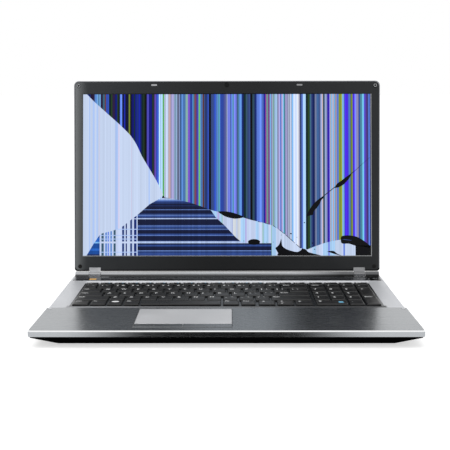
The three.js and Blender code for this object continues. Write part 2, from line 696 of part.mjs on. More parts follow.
function controlStrip() {
  const left = -caseSideAt(deckRear) + 3 + SEAM;
  return alongZ(outline([
    [left, deckRear + SEAM, 0],
    [stripRight, deckRear + SEAM, 5],
    [stripRight, barFront - 2 * SEAM, 5],
    [left, barFront - 2 * SEAM, 0],
  ]), [stripZ + SEAM, -0.05]);
}
addPiece('control_strip', controlStrip(), stripPlastic);
addPiece('power_button', roundedBox(powerXs, powerYs, [stripZ + SEAM, -0.05], 1.5, 2), silver);

function hingeBar() {
  const top = [];
  const steps = 14;
  const swellY = hingeY - BAR_RADIUS - 1;
  for (let i = 0; i <= steps; i += 1) {
    const angle = Math.PI * (-0.12 + 1.2 * i / steps);
    top.push([hingeY + BAR_RADIUS * Math.cos(angle), hingeZ + BAR_RADIUS * Math.sin(angle)]);
  }
  const low = stripZ + SEAM;
  const profile = [
    [barFront, low], [hingeY + BAR_RADIUS * 0.95, low], ...top.filter(([, z]) => z > BAR_SWELL),
    [swellY, BAR_SWELL], [barFront + 3.5, 0], [barFront, 0],
  ];
  const half = caseSideAt(DEPTH) - 0.4;
  const tools = [-1, 1].flatMap((side) => [
    box(mirrored(side, notchSpan), [hingeY - CAP_HEIGHT - 2 * NOTCH_CLEARANCE, DEPTH + 1], [-BASE_HEIGHT, 9]),
    rodX(KNUCKLE_RADIUS + SEAM, mirrored(side, [knuckleSpan[0] - SEAM, knuckleSpan[1]]), hingeY, hingeZ),
    box(mirrored(side, [knuckleSpan[0] - SEAM, knuckleSpan[1]]),
      around(hingeY, 2 * (KNUCKLE_RADIUS + SEAM)), [-BASE_HEIGHT, hingeZ]),
  ]);
  return cut(alongX(profile, [-half, half]), ...tools);
}
addPiece('hinge_bar', hingeBar(), silver);

// Hinges: a steel bracket with a knuckle in the base, an arm with a pin and a cap on the lid

function hingeBracket(side) {
  const span = mirrored(side, [knuckleSpan[0], knuckleSpan[1] - NOTCH_CLEARANCE]);
  const footTop = deckUnder - SEAM;
  const legYs = [hingeY - KNUCKLE_RADIUS, hingeY + 1.2];
  return cut(
    join(
      rodX(KNUCKLE_RADIUS, span, hingeY, hingeZ),
      box(span, legYs, [footTop - BRACKET_SHEET, hingeZ]),
      box(span, [legYs[1] - BRACKET_FOOT, legYs[1]], [footTop - BRACKET_SHEET, footTop]),
    ),
    rodX(PIN_RADIUS + SEAM, [span[0] - 1, span[1] + 1], hingeY, hingeZ),
  );
}

const strapBack = bezelBack - SEAM - STRAP_THICKNESS;

function hingeArm(side) {
  const pin = rodX(PIN_RADIUS, mirrored(side, [knuckleSpan[0] + 1, capSpan[1] - 1]), 0, 0);
  const depths = [strapBack, strapBack + STRAP_THICKNESS];
  const sideX = screenWidth / 2 + PANEL_BORDER + 1.2;
  const lidHalf = lidBottomHalf - LID_WALL - 2 * SEAM;
  return join(
    pin,
    box(mirrored(side, around(hingeX, STRAP_WIDTH)), [-0.6, 12], depths),
    box(mirrored(side, [hingeX - STRAP_WIDTH / 2, lidHalf]), [LID_BOTTOM + LID_WALL + 4, CHIN - 3], depths),
    box(mirrored(side, [sideX, lidHalf]), [LID_BOTTOM + LID_WALL + 4, STRAP_HEIGHT], depths),
  );
}

function hingeCap(side) {
  const span = mirrored(side, capSpan);
  const plateBack = LID_FACE + SEAM;
  return cut(
    join(
      rodX(BARREL_RADIUS, span, 0, 0, 32),
      box(span, [0, CAP_HEIGHT], [plateBack, plateBack + CAP_PLATE]),
    ),
    rodX(PIN_RADIUS + SEAM, [span[0] - 1, span[1] + 1], 0, 0),
    box(mirrored(side, around(hingeX, STRAP_WIDTH + 2 * SEAM)), [-0.6 - SEAM, LID_BOTTOM],
      [strapBack - SEAM, strapBack + STRAP_THICKNESS + SEAM]),
  );
}

[[-1, 'left'], [1, 'right']].forEach(([side, word]) => {
  addPiece(`hinge_bracket_${word}`, hingeBracket(side), steel);
  addPiece(`hinge_arm_${word}`, hingeArm(side), steel, lid);
  addPiece(`hinge_cap_${word}`, hingeCap(side), brightMetal, lid);
});

// Lid, drawn lying on its back: X across, Y up the lid from the hinge axis, Z out of the screen

function lidRing(z, inset) {
  const half = (y) => lidBottomHalf + LID_TAPER * (y - LID_BOTTOM) / (lidTop - LID_BOTTOM) - inset;
  const low = LID_BOTTOM + inset;
  const high = lidTop - inset;
  return {
    z,
    points: outline([
      [-half(low), low, 4], [half(low), low, 4],
      [half(high), high, LID_CORNER], [-half(high), high, LID_CORNER],
    ]),
  };
}

const bezelInset = LID_WALL + SEAM;
const panelXs = around(0, screenWidth + 2 * PANEL_BORDER);
const panelYs = [screenBottom - PANEL_BORDER, screenTop + PANEL_BORDER];
const panelFront = bezelBack - SEAM;
const panelBack = panelFront - PANEL_THICKNESS;
const webcamY = lidTop - WEBCAM_DROP;
const bumperSpots = [
  ['top_left', BUMPER_INSET - lidTopHalf, lidTop - BUMPER_INSET],
  ['top_right', lidTopHalf - BUMPER_INSET, lidTop - BUMPER_INSET],
  ['bottom_left', BUMPER_INSET + 1 - lidBottomHalf, LID_BOTTOM + BUMPER_INSET],
  ['bottom_right', lidBottomHalf - BUMPER_INSET - 1, LID_BOTTOM + BUMPER_INSET],
];

function lidCover() {
  const rimTop = LID_FACE - SEAM;
  const shell = loft([
    lidRing(sheathBack, 3), lidRing(sheathBack + 1.2, 0.9), lidRing(sheathBack + 2.8, 0), lidRing(rimTop, 0),
  ]);
  const hollow = loft([lidRing(sheathBack + LID_WALL, LID_WALL + 1), lidRing(sheathBack + 3, LID_WALL),
    lidRing(rimTop + 1, LID_WALL)]);
  const slots = [-1, 1].map((side) => box(
    mirrored(side, around(hingeX, STRAP_WIDTH + 2 * SEAM)), [0, LID_BOTTOM + 4],
    [strapBack - SEAM, rimTop + 1]));
  return cut(shell, hollow, ...slots);
}

function screenBezel() {
  const window = (z, spread) => ({
    z,
    points: [
      [-screenWidth / 2 - spread, screenBottom - spread], [screenWidth / 2 + spread, screenBottom - spread],
      [screenWidth / 2 + spread, screenTop + spread], [-screenWidth / 2 - spread, screenTop + spread],
    ],
  });
  const frame = loft([lidRing(bezelBack, bezelInset), lidRing(LID_FACE - 0.3, bezelInset),
    lidRing(LID_FACE, bezelInset + 0.4)]);
  const opening = loft([window(bezelBack - 1, 0), window(bezelBack + 0.2, 0), window(LID_FACE + 0.01, 1)]);
  const through = [bezelBack - 1, LID_FACE + 1];
  const microphones = [-1, 1].map((side) => roundedBox(
    around(side * MICROPHONE_X, MICROPHONE_LENGTH + 2 * SEAM), around(webcamY, MICROPHONE_WIDTH + 2 * SEAM),
    through, MICROPHONE_WIDTH / 2));
  const bumpers = bumperSpots.map(([, x, y]) => rodZ(
    BUMPER_RADIUS + SEAM, x, y, [LID_FACE - 2 * SEAM, LID_FACE + 1], 16));
  return cut(frame, opening, rodZ(LENS_RADIUS + SEAM, 0, webcamY, through), ...microphones, ...bumpers);
}

// Screen panel. The cracks and the dark blots where the liquid ran out are grooves and shallow
// pockets, in hundredths of the picture's width and height from its lower left corner.
const cracks = [
  { width: 1.0, path: [[1.3, 99.6], [4.2, 95], [9.2, 87.1], [13.1, 80.5], [16.5, 74.5], [18.6, 68.4], [20.4, 61.5], [23, 53.5],
    [25.4, 47], [27.8, 37.7]] },
  { width: 0.9, path: [[28, 37.2], [26.7, 34], [23, 31.2], [19.1, 25.1], [16.5, 21.9], [14.9, 19.1], [11.5, 15.8], [6.8, 13.5],
    [4.2, 7.9], [1.3, 0.5]] },
  { width: 0.9, path: [[28, 36.3], [30.6, 35.4], [34, 34.5], [37.4, 33.1], [40.6, 31.2], [44, 28.4], [46.9, 23.7], [49.5, 18.2],
    [54.2, 9.8], [56, 7.9], [64.7, 7.9]] },
  { width: 1.4, path: [[77.8, 24.2], [79.1, 28.9], [81.7, 34], [83.8, 37.2], [85.4, 39.1], [88, 42.8], [89.8, 46.1], [91.9, 49.8],
    [94.3, 52.1], [98.2, 58.7]] },
  { width: 0.9, path: [[77.8, 24.2], [77.7, 16.3], [77.8, 4.7]] },
  { width: 0.9, path: [[58.7, 22.3], [63.1, 20], [66.8, 17.7], [69.9, 14.9], [72, 11.2], [74.6, 7], [77.8, 4.2], [83.3, 7.4],
    [89.6, 9.8]] },
];
const blots = [
  [[47.4, 27], [51.3, 23.3], [55.3, 23.7], [58.1, 22.3], [53.7, 25.6]],
  [[57.1, 8.8], [59.4, 7], [61.8, 8.4], [59.4, 10.2]],
  [[66.5, 2.3], [70.2, 0.5], [78.6, 1.4], [82.7, 0.5], [77.8, 4.2], [74.6, 3.7], [70.2, 6.1], [69.1, 11.2], [67.8, 6.1]],
  [[90.1, 12.1], [94.8, 11.6], [99.5, 7], [99.5, 0.5], [94.3, 0.5], [94.3, 6.5]],
];

function screenPanel() {
  const cutDepth = [panelFront - CRACK_DEPTH, panelFront + 1];
  const place = ([x, y]) => [screenWidth * (x / 100 - 0.5), screenBottom + screenHeight * y / 100];
  const grooves = cracks.map(({ width, path }) => alongZ(stripAlong(path.map(place), width), cutDepth));
  const pockets = blots.map((points) => alongZ(points.map(place), cutDepth));
  return cut(box(panelXs, panelYs, [panelBack, panelFront]), ...grooves, ...pockets);
}

addPiece('lid_cover', lidCover(), lidMetal, lid);
addPiece('screen_bezel', screenBezel(), bezelPlastic, lid);
addPiece('screen_panel', screenPanel(), glass, lid);
addPiece('backlight_unit', box(panelXs, panelYs, [panelBack - SEAM - BACKLIGHT_THICKNESS, panelBack - SEAM]), steel, lid);

addPiece('webcam_board', join(
  box(around(0, 48), around(webcamY - 1.5, 7), [panelFront - 1.2, panelFront]),
  box(around(0, 9), around(webcamY, 6), [panelFront - 3, panelFront - 1]),
), board, lid);
addPiece('webcam_lens', rodZ(LENS_RADIUS, 0, webcamY, [bezelBack, LID_FACE - 0.1]), glass, lid);

[[-1, 'left'], [1, 'right']].forEach(([side, word]) => {
  const grille = roundedBox(
    around(side * MICROPHONE_X, MICROPHONE_LENGTH), around(webcamY, MICROPHONE_WIDTH),
    [bezelBack, LID_FACE - 0.05], MICROPHONE_WIDTH / 2 - 0.1, 3);
  addPiece(`microphone_${word}`, grille, brightMetal, lid);
});
bumperSpots.forEach(([word, x, y]) => {
  const bumper = rodZ(BUMPER_RADIUS, x, y, [LID_FACE - SEAM, LID_FACE + LID_CLEARANCE - SEAM], 16);
  addPiece(`bumper_${word}`, bumper, rubber, lid);
});

function displayCable() {
  const back = sheathBack + LID_WALL + SEAM;
  const height = LID_BOTTOM + LID_WALL + 4;
  return join(
    box([-hingeX + CAP_WIDTH, -60], around(height + 3, 6), [back, back + 0.6]),
    box([-62, -38], around(height + 3, 8), [back, back + 3.2]),
  );
}
addPiece('display_cable', displayCable(), ribbon, lid);

lid.position.set(0, hingeY, hingeZ);
lid.rotation.x = Math.PI / 2 - OPEN_TILT;
laptop.add(lid);

// Main circuit board with its chips, sockets and the ports on the left side

function portShell(y, width, height, tongue) {
  const outer = -caseSideAt(y - width / 2) + WALL + 2 * SEAM;
  const xs = [outer, outer + 14];
  const inside = cut(
    box(xs, around(y, width), [boardTop - 0.2, portZ + height / 2]),
    box([xs[0] - 1, xs[1] - 1.5], around(y, width - 1.2), around(portZ, height - 1.2)),
  );
  return join(inside, box([xs[0] + 1, xs[1]], around(y, width - 3), around(portZ + tongue, 1.2)));
}

const memoryXs = [boardRight - 109, boardRight - 41.4];
const cardXs = [boardRight - 31, boardRight - 5];

function motherboard() {
  const left = -caseSideAt(boardFront) + WALL + 2.5;
  const outlinePoints = [
    [left, boardFront], [boardRight, boardFront], [boardRight, boardRear],
    [fanX + FAN_SIZE / 2 + 2, boardRear], [fanX + FAN_SIZE / 2 + 2, fanY - FAN_SIZE / 2 - 2],
    [left, fanY - FAN_SIZE / 2 - 2],
  ];
  const chips = [
    { x: processorX, y: processorY, w: PROCESSOR_PLATE + 2, d: PROCESSOR_PLATE + 2, h: PROCESSOR_HEIGHT },
    { x: boardRight - 80, y: processorY + 35, w: 26, d: 26, h: 1.6 },
    { x: boardRight - 30, y: processorY + 40, w: 20, d: 14, h: 1.2 },
    { x: processorX, y: processorY + 55, w: 14, d: 10, h: 1.2 },
    { x: fanX + 13, y: processorY - 10, w: 10, d: 10, h: 3 },
    { x: boardRight - 15, y: boardRear - 21, w: 12, d: 18, h: 4 },
  ];
  return join(
    alongZ(outlinePoints, [boardZ, boardTop]),
    ...chips.map(({ x, y, w, d, h }) => box(around(x, w), around(y, d), [boardTop - 0.2, boardTop + h])),
    box([memoryXs[0] - 3, memoryXs[1] + 3], [boardFront + 2, boardFront + 8], [boardTop - 0.2, boardTop + 4]),
    box([cardXs[0] - 2, cardXs[1] + 2], [boardFront + 2, boardFront + 7], [boardTop - 0.2, boardTop + 4]),
    ...usbYs.map((y) => portShell(y, USB_WIDTH, usbHeight, 1)),
    portShell(videoY, USB_WIDTH + 1, usbHeight - 0.4, 0),
  );
}
addPiece('motherboard', motherboard(), board);

function memoryModule() {
  const z = boardTop + 1.6;
  return join(
    box(memoryXs, [boardFront + 8 + SEAM, boardFront + 38], [z, z + 1]),
    ...[0, 1, 2, 3].map((i) => box(around(memoryXs[0] + 9 + 16.5 * i, 12), around(boardFront + 24, 14), [z - 0.9, z + 1.9])),
  );
}
addPiece('memory_module', memoryModule(), board);

function wirelessCard() {
  const z = boardTop + 1.6;
  return join(
    box(cardXs, [boardFront + 7 + SEAM, boardFront + 33], [z, z + 1]),
    box([cardXs[0] + 3, cardXs[1] - 3], [boardFront + 14, boardFront + 30], [z - 1.2, z + 2]),
  );
}
addPiece('wireless_card', wirelessCard(), board);

// Cooling: blower, heat pipe with fins at the left wall, and a plate over the processor

const fanTop = bayFloor + FAN_HEIGHT;

function fanHousing() {
  const body = roundedBox(around(fanX, FAN_SIZE), around(fanY, FAN_SIZE), [bayFloor, fanTop], 8);
  const inside = [bayFloor + FAN_SHEET, fanTop - FAN_SHEET];
  const chamber = rodZ(ROTOR_RADIUS + 2, fanX, fanY, inside, 32);
  const outlet = box([fanLeft - 1, fanX], around(fanY, 2 * ROTOR_RADIUS), inside);
  const inlet = rodZ(ROTOR_RADIUS * 0.68, fanX, fanY, [fanTop - 2 * FAN_SHEET, fanTop + 1]);
  const intake = [0, 1, 2].map((i) => {
    const angle = Math.PI * (2 * i / 3 + 0.5);
    return rodZ(6, fanX + 17 * Math.cos(angle), fanY + 17 * Math.sin(angle), [bayFloor - 1, bayFloor + 2], 12);
  });
  const shaft = rodZ(SHAFT_RADIUS, fanX, fanY, [bayFloor + 0.5, fanTop - 3], 16);
  return join(cut(body, chamber, outlet, inlet, ...intake), shaft);
}
addPiece('fan_housing', fanHousing(), blackPlastic);

function fanRotor() {
  const clearance = 0.4;
  const zs = [bayFloor + FAN_SHEET + clearance, fanTop - FAN_SHEET - clearance];
  const blades = [];
  for (let i = 0; i < ROTOR_BLADES; i += 1) {
    const blade = new THREE.BoxGeometry(ROTOR_RADIUS - ROTOR_HUB + 1, 1.2, zs[1] - zs[0]);
    blade.translate((ROTOR_RADIUS + ROTOR_HUB) / 2 - 0.5, 0, (zs[0] + zs[1]) / 2);
    blade.rotateZ(2 * Math.PI * i / ROTOR_BLADES);
    blades.push(solidOf(blade.translate(fanX, fanY, 0)));
  }
  const bore = rodZ(SHAFT_RADIUS + clearance, fanX, fanY, [zs[0] - 1, fanTop - 3 + clearance], 16);
  return cut(join(rodZ(ROTOR_HUB, fanX, fanY, zs), ...blades), bore);
}
addPiece('fan_rotor', fanRotor(), rubber);

function heatPipe() {
  const finXs = [-caseSideAt(fanY) + WALL + 2, -caseSideAt(fanY) + WALL + 2 + FIN_DEPTH];
  const finMiddle = (finXs[0] + finXs[1]) / 2;
  const plateZ = boardTop + PROCESSOR_HEIGHT + SEAM;
  const pipeZ = [plateZ + 2, plateZ + 2 + PIPE_THICKNESS];
  const turnY = fanY - FAN_SIZE / 2 - PIPE_WIDTH / 2 - 1;
  const path = [
    [finMiddle, fanY + 26], [finMiddle, turnY + 14], [finMiddle + 4, turnY + 4], [finMiddle + 14, turnY],
    [processorX - 25, turnY], [processorX - 13, turnY - 4], [processorX - 5, processorY + 8],
    [processorX, processorY - 4],
  ];
  const finHeights = [bayFloor + 1.2, pipeZ[0] + 0.3];
  const fins = [];
  for (let i = -6; i <= 6; i += 1) {
    fins.push(box(finXs, around(fanY + FIN_PITCH * i, 0.8), finHeights));
  }
  return join(
    alongZ(stripAlong(path, PIPE_WIDTH), pipeZ),
    box(around(processorX, PROCESSOR_PLATE), around(processorY, PROCESSOR_PLATE), [plateZ, plateZ + 2.2]),
    ...fins,
  );
}
addPiece('heat_pipe', heatPipe(), copper);

// Drives, battery and speakers on the floor of the base

function opticalDrive() {
  const xs = [opticalRight - OPTICAL_LENGTH, opticalRight];
  const ys = [opticalFront + SEAM, opticalRear - SEAM];
  const t = DRIVE_SHEET;
  const hollow = box([xs[0] + t, xs[1] + 1], [ys[0] + t, ys[1] - t], [bayFloor + t, bayFloor + DRIVE_HEIGHT - t]);
  return cut(box(xs, ys, [bayFloor, bayFloor + DRIVE_HEIGHT]), hollow);
}
addPiece('optical_drive', opticalDrive(), steel);

const trayFace = opticalRight + SEAM + TRAY_BEZEL;
const ejectY = opticalFront + 34;
const ejectZ = bayFloor + DRIVE_HEIGHT / 2 + 1;

function discTray() {
  const middleY = (opticalFront + opticalRear) / 2;
  const low = bayFloor + DRIVE_SHEET + SEAM + 0.1;
  const width = OPTICAL_DEPTH - 2 * (SEAM + DRIVE_SHEET + SEAM + 0.1);
  const back = opticalRight - OPTICAL_LENGTH + DRIVE_SHEET + 1;
  const discX = back + DISC_RADIUS + 1.5;
  const plate = box([back, trayFace - TRAY_BEZEL + 0.5], around(middleY, width), [low, low + TRAY_THICKNESS]);
  const face = box([trayFace - TRAY_BEZEL, trayFace], [opticalFront + SEAM, opticalRear - SEAM],
    [bayFloor + SEAM, partingZ - 2 * SEAM]);
  return cut(
    join(
      cut(plate, rodZ(DISC_RADIUS, discX, middleY, [low + 1.2, low + 5], 48)),
      rodZ(7.5, discX, middleY, [low + 0.5, low + 3.2]),
      face,
    ),
    box([discX + 10, discX + 48], around(middleY, 9), [low - 1, low + 5]),
    box([trayFace - 1 - EJECT_TRAVEL - SEAM, trayFace + 1], around(ejectY, EJECT_LENGTH + 2 * SEAM),
      around(ejectZ, 2 + 2 * SEAM)),
  );
}
addPiece('disc_tray', discTray(), blackPlastic);
addPiece('eject_button', box([trayFace - 1, trayFace], around(ejectY, EJECT_LENGTH), around(ejectZ, 2)), blackPlastic);

const driveLeft = -speakerX + SPEAKER_SIZE / 2 + BAY_SPACING + 1;
const batteryXs = [driveLeft + HARD_DRIVE_WIDTH + BAY_SPACING, speakerX - SPEAKER_SIZE / 2 - BAY_SPACING - 1];

function hardDrive() {
  const x0 = driveLeft;
  const body = roundedBox([x0, x0 + HARD_DRIVE_WIDTH], [BAY_FRONT, bayRear],
    [bayFloor, bayFloor + DRIVE_HEIGHT], 2, 2);
  const lidPlate = roundedBox([x0 + 4, x0 + HARD_DRIVE_WIDTH - 12], [BAY_FRONT + 4, bayRear - 4],
    [bayFloor + DRIVE_HEIGHT - 0.6, bayFloor + DRIVE_HEIGHT + 1], 4, 3);
  const hub = rodZ(12, x0 + 36, (BAY_FRONT + bayRear) / 2,
    [bayFloor + DRIVE_HEIGHT - 1, bayFloor + DRIVE_HEIGHT - 0.1]);
  return join(cut(body, lidPlate), hub);
}
addPiece('hard_drive', hardDrive(), steel);

function batteryPack() {
  const top = bayFloor + BATTERY_HEIGHT;
  const body = box(batteryXs, [BAY_FRONT, bayRear - 2], [bayFloor, top]);
  const pitch = (batteryXs[1] - batteryXs[0]) / 3;
  const grooves = [1, 2].map((i) => box(
    around(batteryXs[0] + i * pitch, 1.5), [BAY_FRONT + 6, bayRear], [top - 1, top + 1]));
  return cut(body, ...grooves);
}
addPiece('battery_pack', batteryPack(), cell);

[[-1, 'left'], [1, 'right']].forEach(([side, word]) => {
  const xs = around(side * speakerX, SPEAKER_SIZE);
  const ys = [SPEAKER_FRONT, SPEAKER_FRONT + SPEAKER_SIZE - 2];
  const speaker = cut(
    roundedBox(xs, ys, [bayFloor, bayFloor + 8], 3, 2),
    rodZ(10, side * speakerX, (ys[0] + ys[1]) / 2, [bayFloor + 7, bayFloor + 9]),
  );
  addPiece(`speaker_${word}`, speaker, blackPlastic);
});

// Sockets in the rear wall

function networkJack() {
  const rear = DEPTH - WALL - SEAM;
  return cut(
    box(around(networkX, 15), [rear - JACK_LENGTH, rear], around(networkZ, 9.2)),
    box(around(networkX, 12), [rear - JACK_LENGTH + 1.5, rear + 1], around(networkZ, 8)),
  );
}
addPiece('network_jack', networkJack(), steel);

function powerJack() {
  const rear = DEPTH - WALL - SEAM;
  return join(
    cut(
      box(around(powerJackX, 9), [rear - JACK_LENGTH, rear], around(networkZ, 9)),
      rodY(2.9, powerJackX, [rear - JACK_LENGTH + 2, rear + 1], networkZ),
    ),
    rodY(0.8, powerJackX, [rear - JACK_LENGTH + 1, rear - 1], networkZ, 10),
  );
}
addPiece('power_jack', powerJack(), blackPlastic);

// The origin goes under the middle of the opened laptop, at the level of its feet

const extent = new THREE.Box3().setFromObject(laptop, true);
laptop.position.set(
  -(extent.min.x + extent.max.x) / 2, -(extent.min.y + extent.max.y) / 2, -extent.min.z);

export default laptop;
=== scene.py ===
# %% [markdown]
# A wide laptop computer stands open, with its screen broken: liquid has run out of the cracked
# panel in black blots, and what is left of the picture is bars, blocks and coloured lines. The
# solids come packed, at their real size, and this script dresses them. All lengths are metres.

# %% Load the solids
import json
import math

import bmesh
import bpy
import numpy as np
from mathutils import Matrix, Vector
from mathutils.geometry import tessellate_polygon

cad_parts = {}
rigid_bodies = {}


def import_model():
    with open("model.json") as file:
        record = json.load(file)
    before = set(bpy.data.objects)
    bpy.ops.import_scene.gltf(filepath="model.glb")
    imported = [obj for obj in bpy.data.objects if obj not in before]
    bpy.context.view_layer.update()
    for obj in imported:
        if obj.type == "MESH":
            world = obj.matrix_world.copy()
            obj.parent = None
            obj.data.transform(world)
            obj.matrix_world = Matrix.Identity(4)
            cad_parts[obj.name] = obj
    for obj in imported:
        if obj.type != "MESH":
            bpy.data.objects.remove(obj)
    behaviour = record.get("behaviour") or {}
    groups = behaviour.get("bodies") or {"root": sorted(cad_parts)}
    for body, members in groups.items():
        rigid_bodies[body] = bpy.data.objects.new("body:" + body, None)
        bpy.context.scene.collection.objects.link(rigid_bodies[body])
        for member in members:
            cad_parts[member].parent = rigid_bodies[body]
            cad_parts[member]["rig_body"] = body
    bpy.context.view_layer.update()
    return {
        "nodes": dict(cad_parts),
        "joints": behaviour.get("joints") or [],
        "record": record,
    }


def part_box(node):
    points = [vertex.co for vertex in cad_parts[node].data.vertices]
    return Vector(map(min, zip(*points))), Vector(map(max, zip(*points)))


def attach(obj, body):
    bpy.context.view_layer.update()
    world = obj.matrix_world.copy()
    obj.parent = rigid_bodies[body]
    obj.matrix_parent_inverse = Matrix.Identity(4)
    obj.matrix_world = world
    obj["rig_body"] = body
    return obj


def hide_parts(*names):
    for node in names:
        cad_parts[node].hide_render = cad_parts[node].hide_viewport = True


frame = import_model()
slot_of = {part["node"]: part["material_slot"] for part in frame["record"]["subparts"]}

# %% [markdown]
# Objects and meshes are made the same way all through this lesson, so two short functions do it.


# %% Object and mesh helpers
def add_object(name, data):
    thing = bpy.data.objects.new(name, data)
    bpy.context.collection.objects.link(thing)
    return thing


def mesh_of(name, corners, faces, edges=()):
    mesh = bpy.data.meshes.new(name)
    mesh.from_pydata(corners, list(edges), faces)
    return mesh


# %% [markdown]
# The camera repeats the photographer's place. Position, tilt and lens come from fitting the
# corners of the screen and of the keyboard, whose real sizes are known. A matrix built from the
# view direction is used instead of Euler angles, because it shows which way is right and up.

# %% Camera
EYE = Vector((0.0041, -0.9962, 0.2738))
YAW, PITCH, ROLL = (math.radians(angle) for angle in (-0.345, 9.679, -0.115))
LENS = 68.0

ahead = Vector((math.sin(YAW) * math.cos(PITCH), math.cos(YAW) * math.cos(PITCH), -math.sin(PITCH)))
level = Vector((math.cos(YAW), -math.sin(YAW), 0))
over = level.cross(ahead)
rightward = level * math.cos(ROLL) + over * math.sin(ROLL)
upward = over * math.cos(ROLL) - level * math.sin(ROLL)
camera = add_object("camera", bpy.data.cameras.new("camera"))
camera.data.lens = LENS
camera.data.sensor_width = 36
turned = Matrix((rightward, upward, -ahead)).transposed().to_4x4()
camera.matrix_world = Matrix.Translation(EYE) @ turned
bpy.context.scene.camera = camera
bpy.context.scene.view_settings.view_transform = "Standard"
print("camera at:", tuple(round(value, 3) for value in EYE), "lens:", LENS)

# %% [markdown]
# Shaders are trees of nodes. The functions here place one node each and give back its output, so
# that a tree can be read as a sum: a part of the tree goes straight in as the next node's input.


# %% Shader helpers
WHITE = (1, 1, 1, 1)


def put(tree, kind, settings=None, sockets=None):
    """Adds a node, sets its settings, and sets or links its input sockets."""
    made = tree.nodes.new(kind)
    for key, value in (settings or {}).items():
        setattr(made, key, value)
    for key, value in (sockets or {}).items():
        if isinstance(value, bpy.types.NodeSocket):
            tree.links.new(value, made.inputs[key])
        else:
            made.inputs[key].default_value = value
    return made


def calc(tree, operation, *values, clamp=False):
    """A sum, product or other Math node of numbers and sockets."""
    settings = {"operation": operation, "use_clamp": clamp}
    return put(tree, "ShaderNodeMath", settings, dict(enumerate(values))).outputs[0]


def mix_colours(tree, share, first, second):
    """The first colour at share 0, the second at share 1."""
    return put(tree, "ShaderNodeMix", {"data_type": "RGBA"}, {0: share, 6: first, 7: second}).outputs[2]


def shade(tree, colour, factor):
    """A colour made lighter or darker by a grey factor."""
    return put(tree, "ShaderNodeVectorMath", {"operation": "SCALE"}, {0: colour, "Scale": factor}).outputs[0]


def band(tree, value, low, high, out_low=0.0, out_high=1.0, soft=False):
    """Maps low..high of a value to out_low..out_high, clamped, by a line or a soft curve."""
    limits = {"Value": value, "From Min": low, "From Max": high, "To Min": out_low, "To Max": out_high}
    shape = "SMOOTHSTEP" if soft else "LINEAR"
    return put(tree, "ShaderNodeMapRange", {"interpolation_type": shape}, limits).outputs[0]


print("materials from the pack:", len(bpy.data.materials))

# %% [markdown]
# Noise on Object coordinates breaks up the finishes and makes their bumps. Each material starts as
# an empty tree, and colours are given as they look in the photograph.


# %% Noise, bumps and colours
def object_place(tree):
    return put(tree, "ShaderNodeTexCoord").outputs["Object"]


def axes(tree, vector):
    """The X, Y and Z of a vector, as three sockets."""
    return put(tree, "ShaderNodeSeparateXYZ", None, {0: vector}).outputs


def noise(tree, scale, detail=2.0, roughness=0.5, stretch=(1, 1, 1)):
    """Noise on Object coordinates, stretched by a scale for each axis."""
    place = put(tree, "ShaderNodeMapping", None, {"Vector": object_place(tree), "Scale": stretch}).outputs[0]
    return put(tree, "ShaderNodeTexNoise", None,
               {"Vector": place, "Scale": scale, "Detail": detail, "Roughness": roughness}).outputs[0]


def bumped(tree, height, distance, strength=1.0):
    return put(tree, "ShaderNodeBump", None,
               {"Height": height, "Distance": distance, "Strength": strength}).outputs[0]


def emission(tree, strength):
    return put(tree, "ShaderNodeEmission", None, {"Color": WHITE, "Strength": strength}).outputs[0]


def empty_material(name):
    material = bpy.data.materials.new(name)
    material.use_nodes = True
    material.node_tree.nodes.clear()
    return material, material.node_tree


def tint(red, green, blue):
    """A colour picked from the photograph, 0 to 255, as the linear colour that shaders want."""
    shares = [channel / 255 for channel in (red, green, blue)]
    return tuple(c / 12.92 if c <= 0.04045 else ((c + 0.055) / 1.055) ** 2.4 for c in shares) + (1.0,)


def seen_directly(tree):
    """1 for rays that come straight, by mirror or through glass from the camera."""
    path = put(tree, "ShaderNodeLightPath").outputs
    straight = calc(tree, "MAXIMUM", path["Is Camera Ray"], path["Is Glossy Ray"])
    return calc(tree, "MAXIMUM", straight, path["Is Transmission Ray"])


print("middle grey as a linear colour:", [round(share, 3) for share in tint(128, 128, 128)])

# %% [markdown]
# A product photograph like this one is lit from all round by large soft lamps. An even world
# gives that light, and one wide lamp above the front adds direction. Camera, glossy and
# transmission rays see the world as plain white, so that the metal reflects a white studio.

# %% World and lamp
WORLD_LIGHT = 0.62
LAMP_POWER = 9.0
LAMP_SIZE = (1.4, 0.9)
LAMP_PLACE = (-0.25, -0.65, 1.25)
LAMP_AIM = Vector((0, 0.1, 0.05))

world = bpy.data.worlds.new("studio")
bpy.context.scene.world = world
world.use_nodes = True
tree = world.node_tree
tree.nodes.clear()
strength = band(tree, seen_directly(tree), 0.0, 1.0, WORLD_LIGHT, 1.0)
glow = put(tree, "ShaderNodeBackground", None, {"Color": WHITE, "Strength": strength})
put(tree, "ShaderNodeOutputWorld", None, {"Surface": glow.outputs[0]})

lamp = add_object("softbox", bpy.data.lights.new("softbox", "AREA"))
lamp.data.shape = "RECTANGLE"
lamp.data.size, lamp.data.size_y = LAMP_SIZE
lamp.data.energy = LAMP_POWER
lamp.location = LAMP_PLACE
lamp.rotation_euler = (LAMP_AIM - lamp.location).to_track_quat("-Z", "Y").to_euler()
lamp.visible_glossy = False
print("lamp power:", LAMP_POWER, "world light:", WORLD_LIGHT)

# %% [markdown]
# The floor is a wide sheet of pale paper. Some light of its own, for straight rays only, lifts it
# to the photo's white without brightening what stands on it, and it still takes the shadow.

# %% Floor
FLOOR_LIFT = 0.58
FLOOR_GREY = 0.82
LEFT_END, RIGHT_END, FRONT_END, BACK_END = -9, 9, -6, 14

